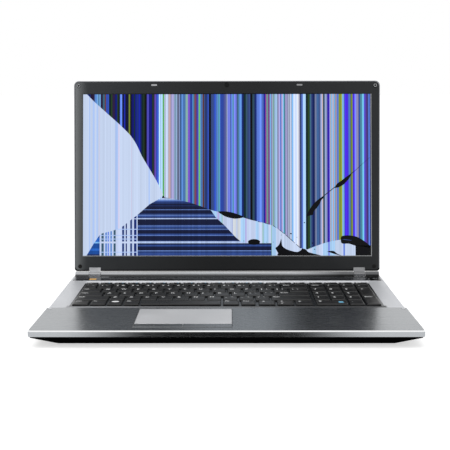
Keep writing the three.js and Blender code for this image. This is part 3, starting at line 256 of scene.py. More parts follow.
paper, tree = empty_material("floor_paper")
lift = calc(tree, "MULTIPLY", seen_directly(tree), FLOOR_LIFT)
matte = put(tree, "ShaderNodeBsdfDiffuse", None, {"Color": (FLOOR_GREY, FLOOR_GREY, FLOOR_GREY, 1)})
both = put(tree, "ShaderNodeAddShader", None, {0: matte.outputs[0], 1: emission(tree, lift)})
put(tree, "ShaderNodeOutputMaterial", None, {"Surface": both.outputs[0]})
floor = add_object("floor", mesh_of(
    "floor", [(x, y, 0) for y in (FRONT_END, BACK_END) for x in (LEFT_END, RIGHT_END)], [(0, 1, 3, 2)]))
floor.data.materials.append(paper)
print("floor corners:", len(floor.data.vertices))

# %% [markdown]
# Bright metal is only as dark as what it mirrors. Photographers place black cards just outside
# the frame, so that a polished edge gets a dark middle and light ends. This card is black in its
# middle and fades to white outward; it lies before the front edge, where only mirrored rays meet it.

# %% Black card before the front edge
CARD_LEFT, CARD_RIGHT = -0.34, 0.32
CARD_NEAR, CARD_FAR, CARD_HEIGHT, CARD_LIFT = -0.16, -0.46, 0.17, 0.001
CARD_MIDDLE = -0.006
BLACK_TO, WHITE_FROM = 0.08, 0.19
CARD_BLACK, CARD_WHITE = 0.02, 1.4

shaded_card, tree = empty_material("shaded_card")
outward = calc(tree, "ABSOLUTE", calc(tree, "SUBTRACT", axes(tree, object_place(tree))["X"], CARD_MIDDLE))
paler = band(tree, outward, BLACK_TO, WHITE_FROM, CARD_BLACK, CARD_WHITE, soft=True)
put(tree, "ShaderNodeOutputMaterial", None, {"Surface": emission(tree, paler)})
fold = ((CARD_NEAR, CARD_LIFT), (CARD_FAR, CARD_LIFT), (CARD_FAR, CARD_HEIGHT))
corners = [(x, y, z) for y, z in fold for x in (CARD_LEFT, CARD_RIGHT)]
card = add_object("black_card", mesh_of("black_card", corners, [(0, 1, 3, 2), (2, 3, 5, 4)]))
card.data.materials.append(shaded_card)
for kind in ("camera", "diffuse", "transmission", "shadow", "volume_scatter"):
    setattr(card, "visible_" + kind, False)
print("card width:", round(CARD_RIGHT - CARD_LEFT, 2))

# %% [markdown]
# Real surfaces are never one flat colour. Three effects come back in many of the finishes, so
# each is a node group that is built once: the fine grain of moulded or painted parts, the
# streaks of brushed sheet, and the dust and finger marks that settle on what is used daily.


# %% Node groups for surface effects
def shader_group(name, inputs, outputs):
    """An empty shader group with the named sockets, and its input and output nodes."""
    tree = bpy.data.node_groups.new(name, "ShaderNodeTree")
    kinds = {"colour": "NodeSocketColor", "value": "NodeSocketFloat", "vector": "NodeSocketVector"}
    for way, sockets in (("INPUT", inputs), ("OUTPUT", outputs)):
        for title, kind in sockets.items():
            tree.interface.new_socket(title, in_out=way, socket_type=kinds[kind])
    return tree, tree.nodes.new("NodeGroupInput").outputs, tree.nodes.new("NodeGroupOutput").inputs


def surface_group(name, inputs):
    """A group that puts out a colour, a shift of the roughness and a normal."""
    return shader_group(name, inputs, {"Colour": "colour", "Roughness Shift": "value", "Normal": "vector"})


def moulded_grain():
    tree, given, result = surface_group("moulded_grain",
                                        {"Colour": "colour", "Grain": "value", "Depth": "value"})
    broad = noise(tree, 14, 3)
    tree.links.new(shade(tree, given["Colour"], band(tree, broad, 0.3, 0.7, 0.94, 1.05)), result["Colour"])
    tree.links.new(band(tree, broad, 0.3, 0.7, -0.05, 0.05), result["Roughness Shift"])
    height = calc(tree, "MULTIPLY", noise(tree, given["Grain"]), given["Depth"])
    tree.links.new(bumped(tree, height, 0.0004), result["Normal"])
    return tree


def brushed_streaks():
    tree, given, result = surface_group("brushed_streaks",
                                        {"Colour": "colour", "Contrast": "value", "Depth": "value"})
    lines = noise(tree, 6, 3, 0.65, (1.2, 300, 300))
    both = calc(tree, "ADD", lines, noise(tree, 6, 2, 0.6, (4, 900, 900)))
    swing = calc(tree, "MULTIPLY_ADD", calc(tree, "SUBTRACT", both, 1.0), given["Contrast"], 1.0)
    tree.links.new(shade(tree, given["Colour"], swing), result["Colour"])
    tree.links.new(band(tree, lines, 0.3, 0.7, -0.05, 0.06), result["Roughness Shift"])
    height = calc(tree, "MULTIPLY", both, given["Depth"])
    tree.links.new(bumped(tree, height, 0.0002), result["Normal"])
    return tree


def dust_and_smudges():
    tree, given, result = shader_group(
        "dust_and_smudges", {"Colour": "colour", "Roughness": "value", "Dust": "value", "Smudges": "value"},
        {"Colour": "colour", "Roughness": "value"})
    facing = axes(tree, put(tree, "ShaderNodeNewGeometry").outputs["Normal"])["Z"]
    lying = band(tree, facing, 0.2, 0.9, 0.25, 1.0)
    specks = band(tree, noise(tree, 900, 1), 0.62, 0.75)
    film = band(tree, noise(tree, 22, 4), 0.42, 0.75, 0.0, 0.35)
    dust = calc(tree, "MULTIPLY", calc(tree, "MAXIMUM", specks, film), lying)
    dust = calc(tree, "MULTIPLY", dust, given["Dust"])
    tree.links.new(mix_colours(tree, dust, given["Colour"], tint(150, 146, 138)), result["Colour"])
    finger_marks = band(tree, noise(tree, 38, 5, 0.6), 0.5, 0.62)
    smear = calc(tree, "MULTIPLY", finger_marks, given["Smudges"])
    rougher = calc(tree, "MULTIPLY_ADD", smear, 0.22, given["Roughness"])
    tree.links.new(calc(tree, "MULTIPLY_ADD", dust, 0.3, rougher, clamp=True), result["Roughness"])
    return tree


GRAIN = moulded_grain()
STREAKS = brushed_streaks()
DUST = dust_and_smudges()
print("groups:", GRAIN.name, STREAKS.name, DUST.name)

# %% [markdown]
# Each finish is one Principled shader. Its base comes through one of the groups above, and the
# dust group comes last, as dust does. What is the same all over a surface, such as how metallic
# it is, is typed on the shader's own socket.


# %% Finishes for plastic, paint and metal
finish = {}


def new_material(name):
    """A material with one Principled shader, kept among the finishes under its name."""
    finish[name], tree = empty_material(name)
    shader = put(tree, "ShaderNodeBsdfPrincipled")
    put(tree, "ShaderNodeOutputMaterial", None, {"Surface": shader.outputs[0]})
    return finish[name], tree, shader


def call(tree, group, sockets):
    """Places a shader group, sets or links its inputs, and gives back its outputs."""
    return put(tree, "ShaderNodeGroup", {"node_tree": group}, sockets).outputs


def weathered(tree, shader, base, roughness, dust, smudges):
    """Feeds a base group's outputs through the dust group into the shader."""
    rough = calc(tree, "ADD", base["Roughness Shift"], roughness)
    worn = call(tree, DUST, {"Colour": base["Colour"], "Roughness": rough, "Dust": dust, "Smudges": smudges})
    tree.links.new(worn["Colour"], shader.inputs["Base Color"])
    tree.links.new(worn["Roughness"], shader.inputs["Roughness"])
    tree.links.new(base["Normal"], shader.inputs["Normal"])


def moulded(name, colour, roughness, grain=1800.0, depth=0.12, metallic=0.0, dust=0.3, smudges=0.5,
            specular=0.5):
    material, tree, shader = new_material(name)
    base = call(tree, GRAIN, {"Colour": colour, "Grain": grain, "Depth": depth})
    weathered(tree, shader, base, roughness, dust, smudges)
    shader.inputs["Metallic"].default_value = metallic
    shader.inputs["Specular IOR Level"].default_value = specular
    return material


def brushed(name, colour, roughness, contrast, depth, dust=0.2, smudges=0.8):
    _, tree, shader = new_material(name)
    base = call(tree, STREAKS, {"Colour": colour, "Contrast": contrast, "Depth": depth})
    weathered(tree, shader, base, roughness, dust, smudges)
    shader.inputs["Metallic"].default_value = 1.0


moulded("black_shell", tint(9, 9, 10), 0.65, dust=0.0, smudges=0.0, specular=0.0)
moulded("deck_silver", tint(212, 214, 218), 0.42, 2600.0, 0.05, 0.25, dust=0.1)
brushed("brushed_palm_rest", tint(160, 163, 166), 0.25, 0.08, 0.02, dust=0.03, smudges=0.1)
moulded("bar_silver", tint(196, 198, 201), 0.18, 2600.0, 0.0, 1.0, dust=0.03, smudges=0.2)
moulded("strip_dark", tint(104, 107, 112), 0.18, 2600.0, 0.0, 0.85, dust=0.06, smudges=0.3)
moulded("key_grid", tint(88, 90, 94), 0.22, 2600.0, 0.0, 0.95, dust=0.05, smudges=0.2)
moulded("key_black", tint(13, 13, 15), 0.3, 2200.0, 0.05, dust=0.08, specular=0.7)
moulded("touchpad_silver", tint(205, 206, 209), 0.38, 3000.0, 0.03, 0.15, dust=0.1)
moulded("rubber_feet", tint(22, 22, 23), 0.85, 1500.0, 0.2, specular=0.2)
moulded("inner_plastic", tint(18, 18, 19), 0.6, 1500.0, 0.15, specular=0.2)
moulded("tray_plastic", tint(36, 36, 38), 0.5, 1800.0, 0.1, dust=0.1, specular=0.3)
brushed("copper", tint(196, 128, 88), 0.35, 0.2, 0.2)
brushed("drive_metal", tint(176, 178, 181), 0.4, 0.12, 0.15)
brushed("drive_steel", tint(168, 170, 172), 0.36, 0.12, 0.12)
brushed("hinge_steel", tint(150, 151, 153), 0.38, 0.15, 0.2)
brushed("cap_bright", tint(198, 199, 202), 0.28, 0.1, 0.1, dust=0.05)
brushed("lid_metal", tint(128, 130, 135), 0.34, 0.2, 0.15, dust=0.04, smudges=0.08)
moulded("bezel_dark", tint(24, 26, 28), 0.42, 2400.0, 0.05, dust=0.06, specular=0.25)
moulded("lens_glass", tint(6, 7, 9), 0.12, 2000.0, 0.0, dust=0.02, specular=0.15)
print("finishes:", len(finish))

# %% [markdown]
# Some finishes carry painted light over the part. The sloped face of the palm rest's fold is painted
# bright, a painted highlight. The bezel is painted dark in the middle and lighter toward its ends,
# and lightest along its left side, as painted reflections of the room. A ramp along an axis or on
# the facing of the surface carries each of these.


# %% Painted highlight and reflections over a part
def base_colour(name):
    """A finish's tree, its base colour socket, and what feeds that socket."""
    tree = finish[name].node_tree
    socket = next(node for node in tree.nodes if node.type == "BSDF_PRINCIPLED").inputs["Base Color"]
    return tree, socket, socket.links[0].from_socket


def paint_light_and_shade(name, *steps):
    """Scales a finish's colour to paint light and shade into it. Each step is one factor: the largest of its
    ramps along an axis.
    """
    tree, socket, colour = base_colour(name)
    where = axes(tree, object_place(tree))
    for ramps in steps:
        factor = 0.0
        for axis, *limits in ramps:
            factor = calc(tree, "MAXIMUM", band(tree, where[axis], *limits), factor)
        colour = shade(tree, colour, factor)
    tree.links.new(colour, socket)


def paint_reflection_to_the_left(name, end, start, grey):
    """Paints a reflection: blends a finish into a grey from a place across the machine to its left end."""
    tree, socket, colour = base_colour(name)
    close = band(tree, axes(tree, object_place(tree))["X"], end, start, 1.0, 0.0)
    tree.links.new(mix_colours(tree, calc(tree, "POWER", close, 1.6), colour, grey), socket)


def paint_fold_highlight(name, bright):
    """Paints the sloped face of a folded edge bright, as a painted highlight."""
    tree, socket, colour = base_colour(name)
    facing = axes(tree, put(tree, "ShaderNodeNewGeometry").outputs["Normal"])["Z"]
    sloped = calc(tree, "MULTIPLY", band(tree, facing, 0.99, 0.93), band(tree, facing, 0.15, 0.35))
    tree.links.new(mix_colours(tree, sloped, colour, bright), socket)


# Painted highlight on the fold's sloped face; painted reflections on the bezel, lighter at its ends and along
# its left side.
paint_fold_highlight("brushed_palm_rest", tint(244, 245, 246))
paint_light_and_shade("bezel_dark", [("X", -0.19, -0.03, 2.4, 0.68)], [("X", 0.03, 0.19, 1.0, 2.1)])
paint_reflection_to_the_left("bezel_dark", -0.204, -0.184, tint(128, 131, 132))
print("changed over the part: palm rest, bezel")

# %% [markdown]
# Circuit boards are green laminate with paler copper runs under the lacquer. A brick pattern at
# the scale of the runs gives the straight lines. The battery and the screen's ribbon are wrapped
# in film with creases.


# %% Finishes for the inside
def circuit_board():
    _, tree, shader = new_material("circuit_board")
    runs = put(tree, "ShaderNodeTexBrick", {"offset": 0.37, "squash": 1.6, "squash_frequency": 3},
               {"Vector": object_place(tree), "Color1": tint(18, 66, 40), "Color2": tint(22, 78, 46),
                "Mortar": tint(58, 118, 74), "Scale": 1.0, "Brick Width": 0.009,
                "Row Height": 0.0021, "Mortar Size": 0.00022}).outputs[0]
    base = call(tree, GRAIN, {"Colour": runs, "Grain": 900.0, "Depth": 0.1})
    weathered(tree, shader, base, 0.42, 0.35, 0.2)


def wrapped_film(name, colour):
    _, tree, shader = new_material(name)
    base = call(tree, GRAIN, {"Colour": colour, "Grain": 700.0, "Depth": 0.05})
    weathered(tree, shader, base, 0.38, 0.3, 0.5)
    creases = noise(tree, 60, 5, 0.7, (1, 0.3, 1))
    tree.links.new(bumped(tree, creases, 0.0006, 0.5), shader.inputs["Normal"])


circuit_board()
wrapped_film("battery_wrap", tint(44, 46, 52))
wrapped_film("cable_tape", tint(70, 58, 44))
print("finishes:", len(finish))

# %% [markdown]
# Most of the solids have the right shape already and only need their finish. Moulded and folded
# parts also have small round edges, which catch the light. A copy of such a solid is merged,
# freed of needless edges and bevelled, and then stands for the solid.


# %% Dress the solids
MERGE_WITHIN = 2e-6
FLAT_ENOUGH = math.radians(0.6)


def paint(mesh, material):
    mesh.materials.clear()
    mesh.materials.append(material)


def add_piece(name, mesh, body):
    """A finished mesh becomes an object that rides on a body."""
    piece = add_object(name, mesh)
    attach(piece, body)
    return piece


def round_edges(piece, width, segments=2, angle=32):
    bevel = piece.modifiers.new("round edges", "BEVEL")
    bevel.width = width
    bevel.segments = segments
    bevel.limit_method = "ANGLE"
    bevel.angle_limit = math.radians(angle)
    bevel.harden_normals = True


def shade_by_angle(mesh, angle=32):
    """Smooth shading over gentle edges and hard edges elsewhere."""
    shape = bmesh.new()
    shape.from_mesh(mesh)
    for face in shape.faces:
        face.smooth = True
    for edge in shape.edges:
        edge.smooth = not (edge.is_manifold and edge.calc_face_angle(0) > math.radians(angle))
    shape.to_mesh(mesh)
    shape.free()


def dressed(node, width):
    """A merged and bevelled copy of a solid, which stands for the solid."""
    solid = frame["nodes"][node]
    mesh = solid.data.copy()
    mesh.name = node + "_dressed"
    shape = bmesh.new()
    shape.from_mesh(mesh)
    bmesh.ops.remove_doubles(shape, verts=shape.verts, dist=MERGE_WITHIN)
    bmesh.ops.dissolve_limit(shape, angle_limit=FLAT_ENOUGH, verts=shape.verts, edges=shape.edges)
    shape.to_mesh(mesh)
    shape.free()
    shade_by_angle(mesh)
    paint(mesh, finish[OWN_FINISH.get(node, slot_of[node])])
    piece = add_piece(node + "_dressed", mesh, solid["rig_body"])
    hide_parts(node)
    round_edges(piece, width)


OWN_FINISH = {"disc_tray": "tray_plastic"}
ROUNDED = {
    0.0005: "bottom_cover foot_front_left foot_front_right foot_rear_left foot_rear_right",
    0.0004: "power_button lid_cover",
    0.0003: """top_case hinge_bar touchpad touchpad_button_left touchpad_button_right disc_tray
               hinge_cap_left hinge_cap_right bumper_top_left bumper_top_right bumper_bottom_left
               bumper_bottom_right""",
    0.00025: "palm_rest",
    0.0002: "control_strip screen_bezel eject_button microphone_left microphone_right",
    0.00015: "deck_stud_left deck_stud_right",
}
MADE_ANEW = """keyboard screen_panel space_bar left_shift_key right_shift_key caps_lock_key enter_key
    tab_key backspace_key number_pad_zero_key number_pad_enter_key number_pad_plus_key""".split()
rounded = [(node, width) for width, nodes in ROUNDED.items() for node in nodes.split()]
for node, width in rounded:
    dressed(node, width)
for node in sorted(set(frame["nodes"]) - {node for node, _ in rounded} - set(MADE_ANEW)):
    paint(frame["nodes"][node].data, finish[slot_of[node]])
print("rounded:", len(rounded), "made anew:", len(MADE_ANEW))

# %% [markdown]
# The drawing's zero is the middle of the palm rest's front edge, at its top. Both of its lines
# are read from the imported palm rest, so that the keys and marks that are drawn in millimetres
# from there land on the solids.

# %% Where the drawing lies in the frame
ZERO = Vector((0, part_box("palm_rest")[0].y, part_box("palm_rest")[1].z))


def at(x, y, z):
    """A place on the drawing, in millimetres, as a place in the frame."""
    return ZERO + Vector((x, y, z)) / 1000


print("zero:", tuple(round(value, 4) for value in ZERO))

# %% [markdown]
# Every part also stands in its neighbours' shade, or mirrors them, and this is painted into the base
# colours. The bar behind the keys gets painted shade under its round top, a painted reflection of the
# strip; toward the right it is painted darker, mirroring less of the bright room, as its hinge cap is.
# The lid's lower lip gets painted shade, and the deck's lip before the keys is painted as dark as the
# palm rest. Ramps along an axis carry this and move with the part.


# %% Painted shade and reflections from the neighbours
def height_at(z):
    return at(0, 0, z).z


def depth_at(y):
    return at(0, y, 0).y


WELL_SIDE = 0.1815
# Painted shade and painted reflections on the bar, the lid's lower lip, the hinge caps and the deck's lip.
paint_light_and_shade("bar_silver", [("Z", height_at(0), height_at(3.4), 0.12, 1.1)], [("X", 0.09, 0.15, 1.0, 0.3)])
paint_light_and_shade("lid_metal", [("Z", height_at(8.5), height_at(9.5), 0.05, 1.0),
                     ("Y", depth_at(258), depth_at(259), 0, 1)])
paint_light_and_shade("cap_bright", [("X", -0.15, 0.15, 0.75, 0.42)])
paint_light_and_shade("deck_silver", [("Y", depth_at(105.4), depth_at(106), 0, 1), ("X", -0.19, 0.1, 0.6, 0.12),
                       ("X", WELL_SIDE, 0.184, 0, 1), ("X", -WELL_SIDE, -0.184, 0, 1)])
print("shaded: bar, hinge caps, lips of the lid and the deck")

# %% [markdown]
# The keyboard is a silver grid with a dark key in each opening. The rows follow a rule: all keys
# of a row share its depth, and widths are counted in letter keys. Here the rule is written down
# once as a list of keys with the words on them, for the grid, the caps and the legends alike. A
# width of 0 means that the key reaches to the end of its row.

# %% Lay out the keys
LETTER = 19.05
GAP = 2.7
ROW = 19.3
FUNCTION_ROW = 12.2
DECK = -1.8
KEY_TOP = 0.2
SIDE = -179.2
FRONT = 104.65
MAIN_RIGHT = SIDE + 14.68 * LETTER
NUMBERS_LEFT = SIDE + 14.81 * LETTER
ARROW = 3.38 * LETTER / 3

typed_rows = [
    [("Ctrl", 1.1), ("Fn", 1.03), ("window", 0.99), ("Alt", 1.03), ("", 4.98, "space_bar"), ("Alt", 1.1),
     ("Ctrl", 0.99)],
    [("Shift", 2.13, "left_shift_key")] + [(c, 1) for c in "ZXCVBNM,./"] + [("Shift", 0, "right_shift_key")],
    [("Caps", 1.64, "caps_lock_key")] + [(c, 1) for c in "ASDFGHJKL;'"] + [("Enter", 0, "enter_key")],
    [("Tab", 1.38, "tab_key")] + [(c, 1) for c in "QWERTYUIOP[]"] + [("\\", 0)],
    [("`", 0.92)] + [(c, 1) for c in "1234567890-="] + [("Back", 0, "backspace_key")],
]
function_words = ["Esc"] + [f"F{n}" for n in range(1, 13)] + ["Prt", "Ins", "Del"]
keys = []


def add_key(words, x0, x1, y0, y1, name=None):
    """Notes a key between its neighbours' middle lines; half a gap comes off each side."""
    half = GAP / 2
    keys.append({"words": words, "name": name, "x0": x0 + half, "x1": x1 - half, "y0": y0 + half,
                 "y1": y1 - half})


def row_line(row):
    return FRONT + row * ROW


def column(i):
    return NUMBERS_LEFT + i * LETTER


for row, caps in enumerate(typed_rows):
    x = SIDE
    for words, width, *name in caps:
        end = x + width * LETTER if width else MAIN_RIGHT
        add_key(words, x, end, row_line(row), row_line(row + 1), *name)
        x = end
start = MAIN_RIGHT - 3 * ARROW
add_key("left", start, start + ARROW, row_line(0), row_line(1))
add_key("down", start + ARROW, start + 2 * ARROW, row_line(0), row_line(0.5) + GAP / 4)
add_key("up", start + ARROW, start + 2 * ARROW, row_line(0.5) - GAP / 4, row_line(1))
add_key("right", start + 2 * ARROW, MAIN_RIGHT, row_line(0), row_line(1))
small = (MAIN_RIGHT - SIDE) / len(function_words)
keys_rear = row_line(5) + FUNCTION_ROW
for i, words in enumerate(function_words):
    add_key(words, SIDE + i * small, SIDE + (i + 1) * small, row_line(5), keys_rear)
for i, (upper, lower) in enumerate(zip(["Hm", "PU", "PD", "End"], ["Num", "/", "*", "-"])):
    add_key(upper, column(i), column(i + 1), row_line(5), keys_rear)
    add_key(lower, column(i), column(i + 1), row_line(4), row_line(5))
for row, digits in ((1, "123"), (2, "456"), (3, "789")):
    for i, digit in enumerate(digits):
        add_key(digit, column(i), column(i + 1), row_line(row), row_line(row + 1))
add_key("0", column(0), column(2), row_line(0), row_line(1), "number_pad_zero_key")
add_key(".", column(2), column(3), row_line(0), row_line(1))
add_key("Enter", column(3), column(4), row_line(0), row_line(2), "number_pad_enter_key")
add_key("+", column(3), column(4), row_line(2), row_line(4), "number_pad_plus_key")
off = max((at(k["x0"], k["y0"], 0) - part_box(k["name"])[0]).xy.length for k in keys if k["name"])
print("keys:", len(keys), "farthest from its solid, mm:", round(off * 1000, 3))

# %% [markdown]
# Geometry Nodes are trees too, for shapes that follow a rule. Three of them come below, and all
# begin and end alike: named inputs that can be changed in the modifier's panel, and at the end
# real geometry with its material. The result is turned into a plain mesh.


# %% Helpers for Geometry Nodes
def rule_tree(name, numbers, materials=("Material",)):
    """An empty tree with a geometry, numbers and materials as inputs; gives its input sockets too."""
    tree = bpy.data.node_groups.new(name, "GeometryNodeTree")
    tree.is_modifier = True
    tree.interface.new_socket("Geometry", in_out="INPUT", socket_type="NodeSocketGeometry")
    for title, value in numbers.items():
        kind = "NodeSocketInt" if isinstance(value, int) else "NodeSocketFloat"
        tree.interface.new_socket(title, in_out="INPUT", socket_type=kind).default_value = value
    for title in materials:
        tree.interface.new_socket(title, in_out="INPUT", socket_type="NodeSocketMaterial")
    tree.interface.new_socket("Geometry", in_out="OUTPUT", socket_type="NodeSocketGeometry")
    return tree, put(tree, "NodeGroupInput").outputs


def with_material(tree, geometry, material):
    return put(tree, "GeometryNodeSetMaterial", None, {"Geometry": geometry, "Material": material}).outputs[0]


def real_shape(tree, geometry):
    return put(tree, "GeometryNodeRealizeInstances", None, {"Geometry": geometry}).outputs[0]


def joined_shapes(tree, *shapes):
    joined = put(tree, "GeometryNodeJoinGeometry")
    for shape in shapes:
        tree.links.new(shape, joined.inputs[0])
    return joined.outputs[0]


def carried_number(tree, name):
    return put(tree, "GeometryNodeInputNamedAttribute", {"data_type": "FLOAT"}, {"Name": name}).outputs[0]


def grown(name, mesh, tree, values):
    """The plain mesh that a tree makes of a mesh, with the tree's inputs set by name."""
    seed = add_object(name, mesh)
    modifier = seed.modifiers.new("rule", "NODES")
    modifier.node_group = tree
    for item in tree.interface.items_tree:
        if item.in_out == "INPUT" and item.name in values:
            modifier[item.identifier] = values[item.name]
    return plain_mesh(seed, name)


def plain_mesh(seed, name):
    """Turns an object with a rule or with letters into a mesh and removes the object."""
    bpy.context.view_layer.update()
    made = bpy.data.meshes.new_from_object(seed.evaluated_get(bpy.context.evaluated_depsgraph_get()))
    bpy.data.objects.remove(seed)
    made.name = name
    return made


# %% [markdown]
# A key cap is its footprint raised to a skirt, with a sloped shoulder up to a smaller top. That is
# a rule for a repeated shape, so Geometry Nodes makes it: each flat face of the input mesh is one
# key. The inset stays the same on wide keys, so the top is scaled along X and Y by shares that
# come from the width and depth that each face carries. A Bevel modifier rounds the result.


# %% Geometry Nodes tree for key caps
def key_cap_tree():
    tree, given = rule_tree("key_caps", {"Skirt": 0.0021, "Shoulder": 0.0005, "Inset": 0.0009})
    up = put(tree, "FunctionNodeInputVector", {"vector": (0, 0, 1)}).outputs[0]
    skirt = put(tree, "GeometryNodeExtrudeMesh", {"mode": "FACES"},
                {"Mesh": given["Geometry"], "Offset": up, "Offset Scale": given["Skirt"], "Individual": True})
    shoulder = put(tree, "GeometryNodeExtrudeMesh", {"mode": "FACES"},
                   {"Mesh": skirt.outputs["Mesh"], "Selection": skirt.outputs["Top"], "Offset": up,
                    "Offset Scale": given["Shoulder"], "Individual": True})
    shape = shoulder.outputs["Mesh"]
    for attribute, axis in (("key_width", (1, 0, 0)), ("key_depth", (0, 1, 0))):
        share = calc(tree, "DIVIDE", given["Inset"], carried_number(tree, attribute))
        factor = calc(tree, "MULTIPLY_ADD", share, -2.0, 1.0)
        shape = put(tree, "GeometryNodeScaleElements", {"domain": "FACE", "scale_mode": "SINGLE_AXIS"},
                    {"Geometry": shape, "Selection": shoulder.outputs["Top"], "Scale": factor,
                     "Axis": axis}).outputs[0]
    under = put(tree, "GeometryNodeFlipFaces", None, {"Mesh": given["Geometry"]}).outputs[0]
    closed = put(tree, "GeometryNodeMergeByDistance", None,
                 {"Geometry": joined_shapes(tree, under, shape), "Distance": 1e-6}).outputs[0]
    painted = with_material(tree, real_shape(tree, closed), given["Material"])
    put(tree, "NodeGroupOutput", None, {"Geometry": painted})
    return tree


KEY_CAPS = key_cap_tree()
print("nodes in the cap rule:", len(KEY_CAPS.nodes))

# %% [markdown]
# The caps that stay still share one mesh, and each key with a body of its own gets its own cap,
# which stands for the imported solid.

# %% Make the caps
SKIRT_DEPTH = 0.6
SHOULDER = 0.5


def footprints(some):
    """One flat face for each key, at the bottom of its skirt, carrying its width and depth."""
    low = DECK - SKIRT_DEPTH
    corners = [at(k[x], k[y], low) for k in some
               for x, y in (("x0", "y0"), ("x1", "y0"), ("x1", "y1"), ("x0", "y1"))]
    mesh = mesh_of("footprints", corners, [tuple(range(4 * i, 4 * i + 4)) for i in range(len(some))])
    for title, start, end in (("key_width", "x0", "x1"), ("key_depth", "y0", "y1")):
        attribute = mesh.attributes.new(title, "FLOAT", "FACE")
        attribute.data.foreach_set("value", [(k[end] - k[start]) / 1000 for k in some])
    return mesh


def cap_piece(name, some, body):
    mesh = grown(name, footprints(some), KEY_CAPS, {
        "Skirt": (KEY_TOP - DECK + SKIRT_DEPTH - SHOULDER) / 1000, "Material": finish["key_black"]})
    shade_by_angle(mesh, 20)
    piece = add_piece(name, mesh, body)
    round_edges(piece, 0.0004, 2, 20)
    return piece


still_keys = [k for k in keys if not k["name"]]
moving_keys = [k for k in keys if k["name"]]
fixed_keys = cap_piece("fixed_keys", still_keys, "base")
for k in moving_keys:
    cap_piece(k["name"] + "_cap", [k], k["name"])
    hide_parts(k["name"])

# %% [markdown]
# The silver grid between the keys is one moulded plate with an opening for each cap. Booleans of
# a hundred boxes are slow and leave slivers, so the plate is laid out as a raster instead: all
# key edges cut it into cells, the cells under keys are left out, and Solidify gives it a depth.


# %% Keyboard grid and the membrane under it
def raster_plate(outer, holes, z):
    """Flat cells over the outer box, without those in a hole."""
    xs = sorted({outer[0], outer[1]} | {h[0] for h in holes} | {h[1] for h in holes})
    ys = sorted({outer[2], outer[3]} | {h[2] for h in holes} | {h[3] for h in holes})
    shape = bmesh.new()
    grid = [[shape.verts.new(at(x, y, z)) for x in xs] for y in ys]
    for j in range(len(ys) - 1):
        for i in range(len(xs) - 1):
            x, y = (xs[i] + xs[i + 1]) / 2, (ys[j] + ys[j + 1]) / 2
            if not any(h[0] < x < h[1] and h[2] < y < h[3] for h in holes):
                shape.faces.new((grid[j][i], grid[j][i + 1], grid[j + 1][i + 1], grid[j + 1][i]))
    bmesh.ops.delete(shape, geom=[v for v in shape.verts if not v.link_faces], context="VERTS")
    bmesh.ops.dissolve_limit(shape, angle_limit=0.01, verts=shape.verts, edges=shape.edges)
    mesh = bpy.data.meshes.new("keyboard_grid")
    shape.to_mesh(mesh)
    shape.free()
    return mesh


CAP_CLEARANCE = 0.25
BORDER = 1.4
outer = (SIDE - BORDER, NUMBERS_LEFT + 4 * LETTER + BORDER, FRONT - BORDER, keys_rear + BORDER)
holes = [(k["x0"] - CAP_CLEARANCE, k["x1"] + CAP_CLEARANCE, k["y0"] - CAP_CLEARANCE, k["y1"] + CAP_CLEARANCE)
         for k in keys]
grid_mesh = raster_plate(outer, holes, DECK)
paint(grid_mesh, finish["key_grid"])
keyboard_grid = add_piece("keyboard_grid", grid_mesh, "base")
thicken = keyboard_grid.modifiers.new("depth", "SOLIDIFY")
thicken.thickness = 0.0012
thicken.offset = -1
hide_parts("keyboard")

BOX_FACES = [(0, 2, 3, 1), (4, 5, 7, 6), (0, 1, 5, 4), (2, 6, 7, 3), (0, 4, 6, 2), (1, 3, 7, 5)]


def block(name, place, xs, ys, zs, body, material, width=0.0001):
    """A plate or block with rounded edges, by its limits on the drawing or on another plane."""
    mesh = mesh_of(name, [place(x, y, z) for z in zs for y in ys for x in xs], BOX_FACES)
    paint(mesh, material)
    piece = add_piece(name, mesh, body)
    round_edges(piece, width)
    return piece


block("key_membrane", at, outer[:2], outer[2:], (-5.6, -4.9), "base",
      finish["inner_plastic"], 0.0003)
print("grid faces:", len(grid_mesh.polygons))

# %% [markdown]
# The legends are printed in white at the rear left of each cap, the second row of functions in
# blue. Blender's own font is enough for plain letters. Each word becomes a flat mesh a hair
# above the cap, and the words of one body are joined to one piece.


# %% Helpers for printed marks
LEGEND_LIFT = 0.00004
white_ink = moulded("white_ink", tint(244, 245, 246), 0.6, dust=0.1)
blue_ink = moulded("blue_ink", tint(116, 188, 222), 0.6, dust=0.1)
grey_ink = moulded("grey_ink", tint(168, 171, 174), 0.5, dust=0.1)


def word_mesh(words, height, weight=0.00009):
    """Flat bold letters with their lower left corner at zero; the height is in millimetres."""
    text = bpy.data.curves.new("word", "FONT")
    text.body = words
    text.size = height / 1000
    text.resolution_u = 2
    text.offset = weight
    return plain_mesh(add_object("word", text), "word")


def flat_shape(points):
    return mesh_of("mark", [(x / 1000, y / 1000, 0) for x, y in points], [tuple(range(len(points)))])


def plate(width, depth):
    return flat_shape([(0, 0), (width, 0), (width, depth), (0, depth)])


def ring_points(radius_x, radius_y, centre_x=0, centre_y=0, count=20):
    angles = [2 * math.pi / count * i for i in range(count)]
    return [(centre_x + radius_x * math.cos(a), centre_y + radius_y * math.sin(a)) for a in angles]


def ring_mark(radius, width, opening=0.0, count=28):
    """A flat ring, open at the top by an angle, as quads."""
    start = math.radians(90 + opening / 2)
    turn = (2 * math.pi - math.radians(opening)) / count
    spokes = [(math.cos(start + turn * i), math.sin(start + turn * i)) for i in range(count + 1)]
    corners = [(c * r / 1000, s * r / 1000, 0) for c, s in spokes for r in (radius - width, radius)]
    return mesh_of("ring", corners, [(2 * i, 2 * i + 1, 2 * i + 3, 2 * i + 2) for i in range(count)])


def on_top(x, y, z=KEY_TOP):
    return Matrix.Translation(at(x, y, z) + Vector((0, 0, LEGEND_LIFT)))


